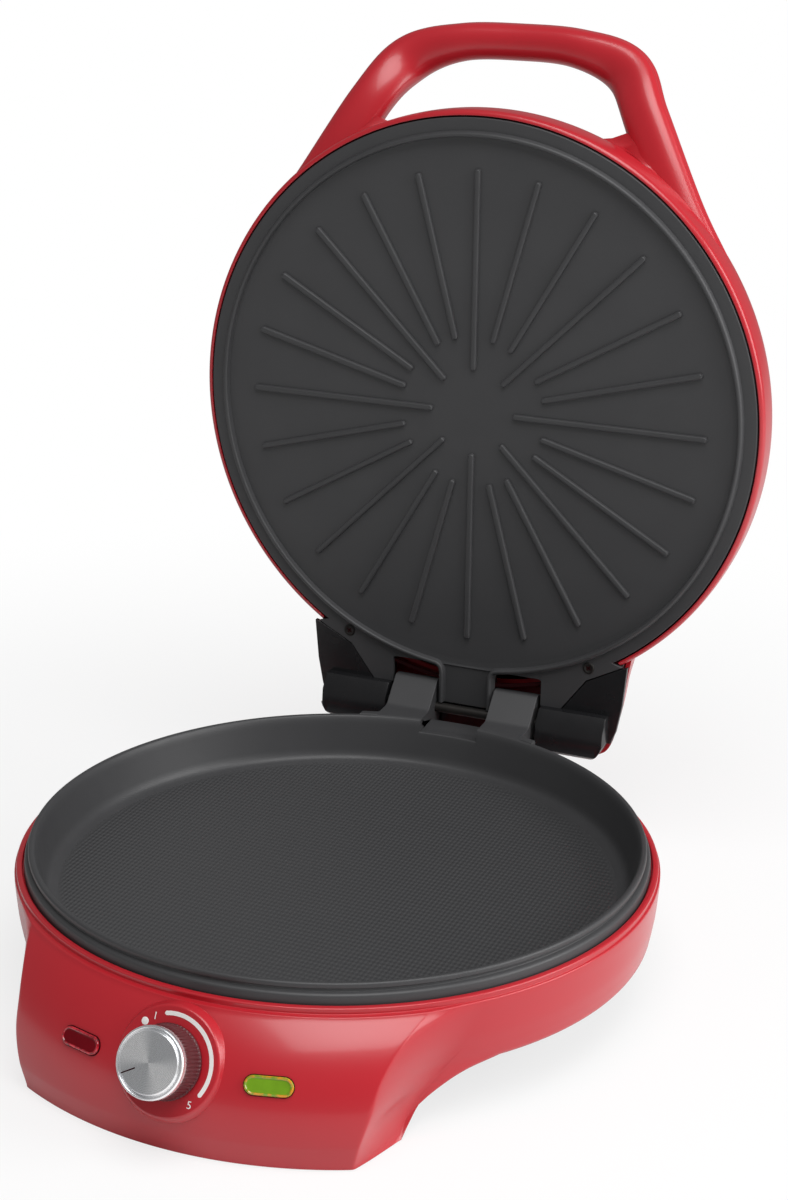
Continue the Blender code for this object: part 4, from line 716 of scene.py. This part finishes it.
# Upper plate: the cast plate in the lid, with a flat flange, a raised bead, ribs, ears and a drain tongue.
# The same non-stick coating as the pan, smoother. Small screws hold it by its ears.
plate_profile = rounded([
    (0, 0.8), (147.4, 0.8), (150.2, 0.6), (153.6, 0.0), (160.1, 0.0), (160.5, 0.4),
    (160.5, 2.3), (154, 2.3), (152, 3.4),
    (0, 3.4)], [0, 1, 0.5, 0.4, 0.3, 0.3, 0.2, 0.3, 0.3, 0], 4)
SLOT_TOP, SLOT_NEAR, SLOT_FAR = 151.4, 17.4, 45.5
plate_grid, *plate_rest = lathe(plate_profile, 360)
behind = (np.abs(plate_grid[..., 0]) < SLOT_FAR) & (plate_grid[..., 1] > SLOT_TOP)
plate_grid[..., 1] = np.where(behind, SLOT_TOP, plate_grid[..., 1])
plate = skin("ribbed_plate", [opened((plate_grid, *plate_rest))], coated, "lid", sharp=35)
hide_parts("upper_plate")
# Painted shade: a near-black ring laid at the bottom of the gap between the plate and the dome, where the gap lies in
# shade.
gap = lathe([(159.8, 1.7), (161.9, 1.7), (161.9, 2.2), (159.8, 2.2)], 240)
skin("plate_gap_shade", [opened(gap)], seam, "lid")

rib_turn = 2 * math.pi * np.arange(24) / 24
rib_inner = np.where(np.arange(24) % 3 == 0, 23.5, 41.3)
for i in range(24):
    outer_r, inner_r = 133.8, rib_inner[i]
    along = inner_r + (outer_r - inner_r) * (0.5 - 0.5 * np.cos(np.linspace(0, math.pi, 70)))
    end = np.minimum(along - inner_r, outer_r - along)
    width = 1.75 * np.sqrt(1 - np.clip(1 - end / 1.75, 0, 1) ** 2)
    across = np.array([-1, -0.93, -0.84, -0.7, -0.35, 0, 0.35, 0.7, 0.84, 0.93, 1])[None, :]
    crest = np.array([0.9, -0.35, -0.85, -1.1, -1.2, -1.22, -1.2, -1.1, -0.85, -0.35, 0.9])[None, :]
    height = 0.9 + (crest - 0.9) * np.sqrt(np.clip(end / 0.7, 0, 1))[:, None]
    x, y = along[:, None] + 0 * across, across * width[:, None]
    c, s = math.cos(rib_turn[i] - math.pi / 2), math.sin(rib_turn[i] - math.pi / 2)
    grid = np.stack([x * c - y * s, x * s + y * c, height], -1)
    skin(f"plate_rib_{i + 1}", [opened((grid, False, True, False))], coated, "lid", sharp=60)

BEAD_RADIUS, TONGUE = 151.5, 14.6
tongue_top = math.sqrt(BEAD_RADIUS ** 2 - TONGUE ** 2)
gap_turn = math.degrees(math.asin(23.0 / BEAD_RADIUS))
ring = [(BEAD_RADIUS * math.sin(math.radians(a)), BEAD_RADIUS * math.cos(math.radians(a)))
        for a in np.linspace(gap_turn, 360 - gap_turn, 241)]
bead_path = np.array([(TONGUE, 174.6), (TONGUE, 163.0)] + rounded(
    [(TONGUE, 163.0), (TONGUE, tongue_top + 0.5), ring[0]], [0, 7.5, 0], 13, closed=False)[13:26].tolist() + ring
    + rounded([ring[-1], (-TONGUE, tongue_top + 0.5), (-TONGUE, 163.0)], [0, 7.5, 0], 13, closed=False)[13:26].tolist()
    + [(-TONGUE, 163.0), (-TONGUE, 174.6)])
step = np.gradient(bead_path, axis=0)
step /= np.linalg.norm(step, axis=1)[:, None]
side_way = np.stack([step[:, 1], -step[:, 0]], -1)
bead_section = np.array([(-2.7, 1.4), (-2.3, 0.4), (-1.9, -0.6), (-1.5, -1.8), (-1.0, -2.6), (-0.3, -2.9), (0.4, -2.9),
                         (0.9, -2.6), (1.15, -2.0), (1.35, -0.4), (1.5, 0.6), (2.0, 1.4)])
grid = np.concatenate([bead_path[:, None, :] + side_way[:, None, :] * bead_section[None, :, :1],
                       np.repeat(bead_section[None, :, 1:], len(bead_path), 0)], -1)
skin("plate_bead", [opened((grid, False, True, True))], coated, "lid", sharp=50)

for side, word in ((-1, "left"), (1, "right")):
    ear_turn = np.radians(np.linspace(16.96, 32.6, 13))
    ear = [(156.0 * math.sin(a), 156.0 * math.cos(a)) for a in ear_turn]
    ear += [(87.2, 134.8), (93.0, 136.6), (72.2, 147.6), (57.7, 167.4), (SLOT_FAR, 167.4)]
    ear = [(side * x, y) for x, y in ear]
    skin(f"plate_ear_{word}", [opened(prism(ear, -0.04, 2.3, "Z"))], coated, "lid", bevel=0.35)
tongue = [(-16.4, 148), (16.4, 148), (16.4, 175.2), (-16.4, 175.2)]
skin("plate_tongue", [opened(prism(tongue, 0.8, 2.3, "Z"))], coated, "lid", bevel=0.3)

screw_profile = rounded([(0, -0.35), (1.6, -0.35), (2.3, -0.75), (3.0, -0.7), (3.5, -0.2), (3.5, 1.0), (0, 1.0)],
                        [0, 0.3, 0.3, 0.4, 0.4, 0, 0], 4)
for side, word in ((-1, "left"), (1, "right")):
    head, *rest = lathe(screw_profile, 40)
    skin(f"plate_screw_{word}", [opened((head + (side * 73.5, 139.8, 0), *rest))],
         browned, "lid", sharp=50)
    # Painted shade: the cross recess in each screw head is drawn as two near-black bars.
    for angle in (35, 125):
        a = math.radians(angle)
        bar = np.array([(-1.7, -0.35), (1.7, -0.35), (1.7, 0.35), (-1.7, 0.35)])
        bar = bar @ np.array([[math.cos(a), math.sin(a)], [-math.sin(a), math.cos(a)]]) + (side * 73.5, 139.8)
        skin(f"plate_screw_{word}_cross_{angle}", [opened(prism(bar, -0.42, -0.2, "Z"))], seam, "lid")


# Hinge cover: the black moulding that closes the housing's front, with two wings and two barrels on the rod.
# Satin black plastic with crisp moulded edges. It lies behind the plate's ears and leaves slots for the posts.
for side, word in ((-1, "left"), (1, "right")):
    wing = [(side * x, y) for x, y in ((72.4, 148.3), (93.2, 137.3), (95.9, 136.6), (93.9, 160.0), (91.0, 176.0),
                                       (88.0, 184.0), (47.0, 184.0), (47.0, 168.0), (58.0, 168.0))]
    skin(f"hinge_wing_{word}", [opened(prism(wing, 0.4, 3.2, "Z"))], black, "lid", bevel=0.45)
    backing = [(side * x, y) for x, y in ((SLOT_FAR + 0.5, 150.5), (60, 145), (76, 136), (92.5, 136), (90.6, 160.0),
                                          (87.6, 177.0), (84.0, 184.0), (SLOT_FAR + 0.5, 184.0))]
    skin(f"hinge_backing_{word}", [opened(prism(backing, 3.3, 6.4, "Z"))], black, "lid", bevel=0.4)
    barrel = ([(-11.2, -2.9), (-3.2, -8.7), (5.0, -9.6), (10.6, -10.6)]
              + arc((0, 0), 15.0, -45, 90, 24) + [(-11.2, 12.0)])
    barrel = [(HINGE_Y + y, HINGE_Z - 76.6 + z) for y, z in barrel]
    station = np.concatenate([[46.2, 46.5, 47.2], np.linspace(50, 71, 5),
                              71 + 15.4 * np.sin(np.linspace(0.15, 1, 12) * math.pi / 2)])
    limit = HINGE_Y + 15.2 * np.sqrt(1 - np.clip((station - 71) / 16.0, 0, 1) ** 2.4)
    inset = np.array([0.7, 0.2] + [0.0] * (len(station) - 4) + [0.1, 0.6])
    grid = np.stack([np.stack([side * x + 0 * y, np.minimum(y, top), z], -1) for x, top, (y, z) in (
        (x, top, ((np.array(barrel) - (HINGE_Y, HINGE_Z - 76.6)) * (1 - small / 12) + (HINGE_Y, HINGE_Z - 76.6)).T)
        for x, top, small in zip(station, limit, inset))])
    piece = skin(f"hinge_barrel_{word}", [opened((grid, False, True, True))], black, "lid",
                 sharp=38)
    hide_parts("lid_hinge_cover")
# Painted shade: a black plate fills the housing's mouth between the posts and stands in for the shaded hollow there.
middle = [(-16.8, 150), (16.8, 150), (16.8, 192), (-16.8, 192)]
skin("hinge_shade_plate_middle", [opened(prism(middle, 3.5, 6.4, "Z"))], black, "lid", bevel=0.4)


# Floor and light: a plain pale table under soft studio lamps, seen from the right of the controls.
# The camera stands where the photograph was taken from, 1.17 m away and 21 degrees up.
table = bpy.data.meshes.new("table")
table.from_pydata([(-6, -6, 0), (6, -6, 0), (6, 6, 0), (-6, 6, 0)], [], [(0, 1, 2, 3)])
table_piece = bpy.data.objects.new("table", table)
bpy.context.scene.collection.objects.link(table_piece)
pale, shader, spot = finish("pale_table", (0.86, 0.86, 0.86), 0.7)
drive(shader, Base_Color=spot.noise(3.0).colours((0.85, 0.85, 0.85), (0.87, 0.87, 0.87)))
rays = spot.tree.nodes.new("ShaderNodeLightPath")
table_x, table_y, _ = spot.axes()
FADE_START, FADE_END = 0.3, 0.75
away = ((table_x * table_x + table_y * table_y) ** 0.5).step(FADE_START, FADE_END)
clear = Field(spot.tree, rays.outputs["Is Camera Ray"]) * (away * 0.25 + 0.75)
glow = spot.tree.nodes.new("ShaderNodeEmission")
mixed = clear.node("ShaderNodeMixShader", (), {0: clear})
spot.tree.links.new(shader.outputs[0], mixed.socket.node.inputs[1])
spot.tree.links.new(glow.outputs[0], mixed.socket.node.inputs[2])
spot.tree.links.new(mixed.socket, spot.tree.nodes["Material Output"].inputs["Surface"])
table.materials.append(pale)

world = bpy.data.worlds.new("studio")
bpy.context.scene.world = world
world.use_nodes = True
tree = world.node_tree
ground = tree.nodes["Background"]
ground.inputs["Color"].default_value = (1, 1, 1, 1)
path = tree.nodes.new("ShaderNodeLightPath")
shown = Field(tree, path.outputs["Is Camera Ray"]).math("MAXIMUM", Field(tree, path.outputs["Is Transmission Ray"]))
strength = shown * 0.8 + 0.2
tree.links.new(strength.socket, ground.inputs["Strength"])


def lamp(name, centre, aim, size, power):
    """A rectangular lamp at the centre, turned so that it faces the aim."""
    light = bpy.data.lights.new(name, "AREA")
    light.shape = "RECTANGLE"
    light.size, light.size_y = size
    light.energy = power
    item = bpy.data.objects.new(name, light)
    bpy.context.scene.collection.objects.link(item)
    item.location = centre
    item.rotation_euler = (Vector(aim) - Vector(centre)).to_track_quat("-Z", "Y").to_euler()


lamp("key", (0.5, -0.7, 2.1), (0, 0, 0.1), (1.5, 1.5), 36)
lamp("right_window", (1.8, 0.1, 0.9), (0, 0, 0.15), (1.4, 1.4), 31)

azimuth, elevation, roll = (math.radians(a) for a in (23.3836, 20.8372, 0.4022))
back = Vector((math.sin(azimuth) * math.cos(elevation), -math.cos(azimuth) * math.cos(elevation),
               math.sin(elevation)))
right = Vector((math.cos(azimuth), math.sin(azimuth), 0))
up = back.cross(right)
right, up = right * math.cos(roll) + up * math.sin(roll), up * math.cos(roll) - right * math.sin(roll)
lens = bpy.data.cameras.new("camera")
lens.lens = 68.93
lens.sensor_width = 36.0
lens.shift_x, lens.shift_y = 0.0214, 0.0320
camera = bpy.data.objects.new("camera", lens)
bpy.context.scene.collection.objects.link(camera)
stand = Matrix((right, up, back)).transposed().to_4x4()
stand.translation = (0.43672, -0.97270 + PAN_AXIS_Y * 0.001, 0.58793)
camera.matrix_world = stand
bpy.context.scene.camera = camera
bpy.context.scene.view_settings.view_transform = "Standard"
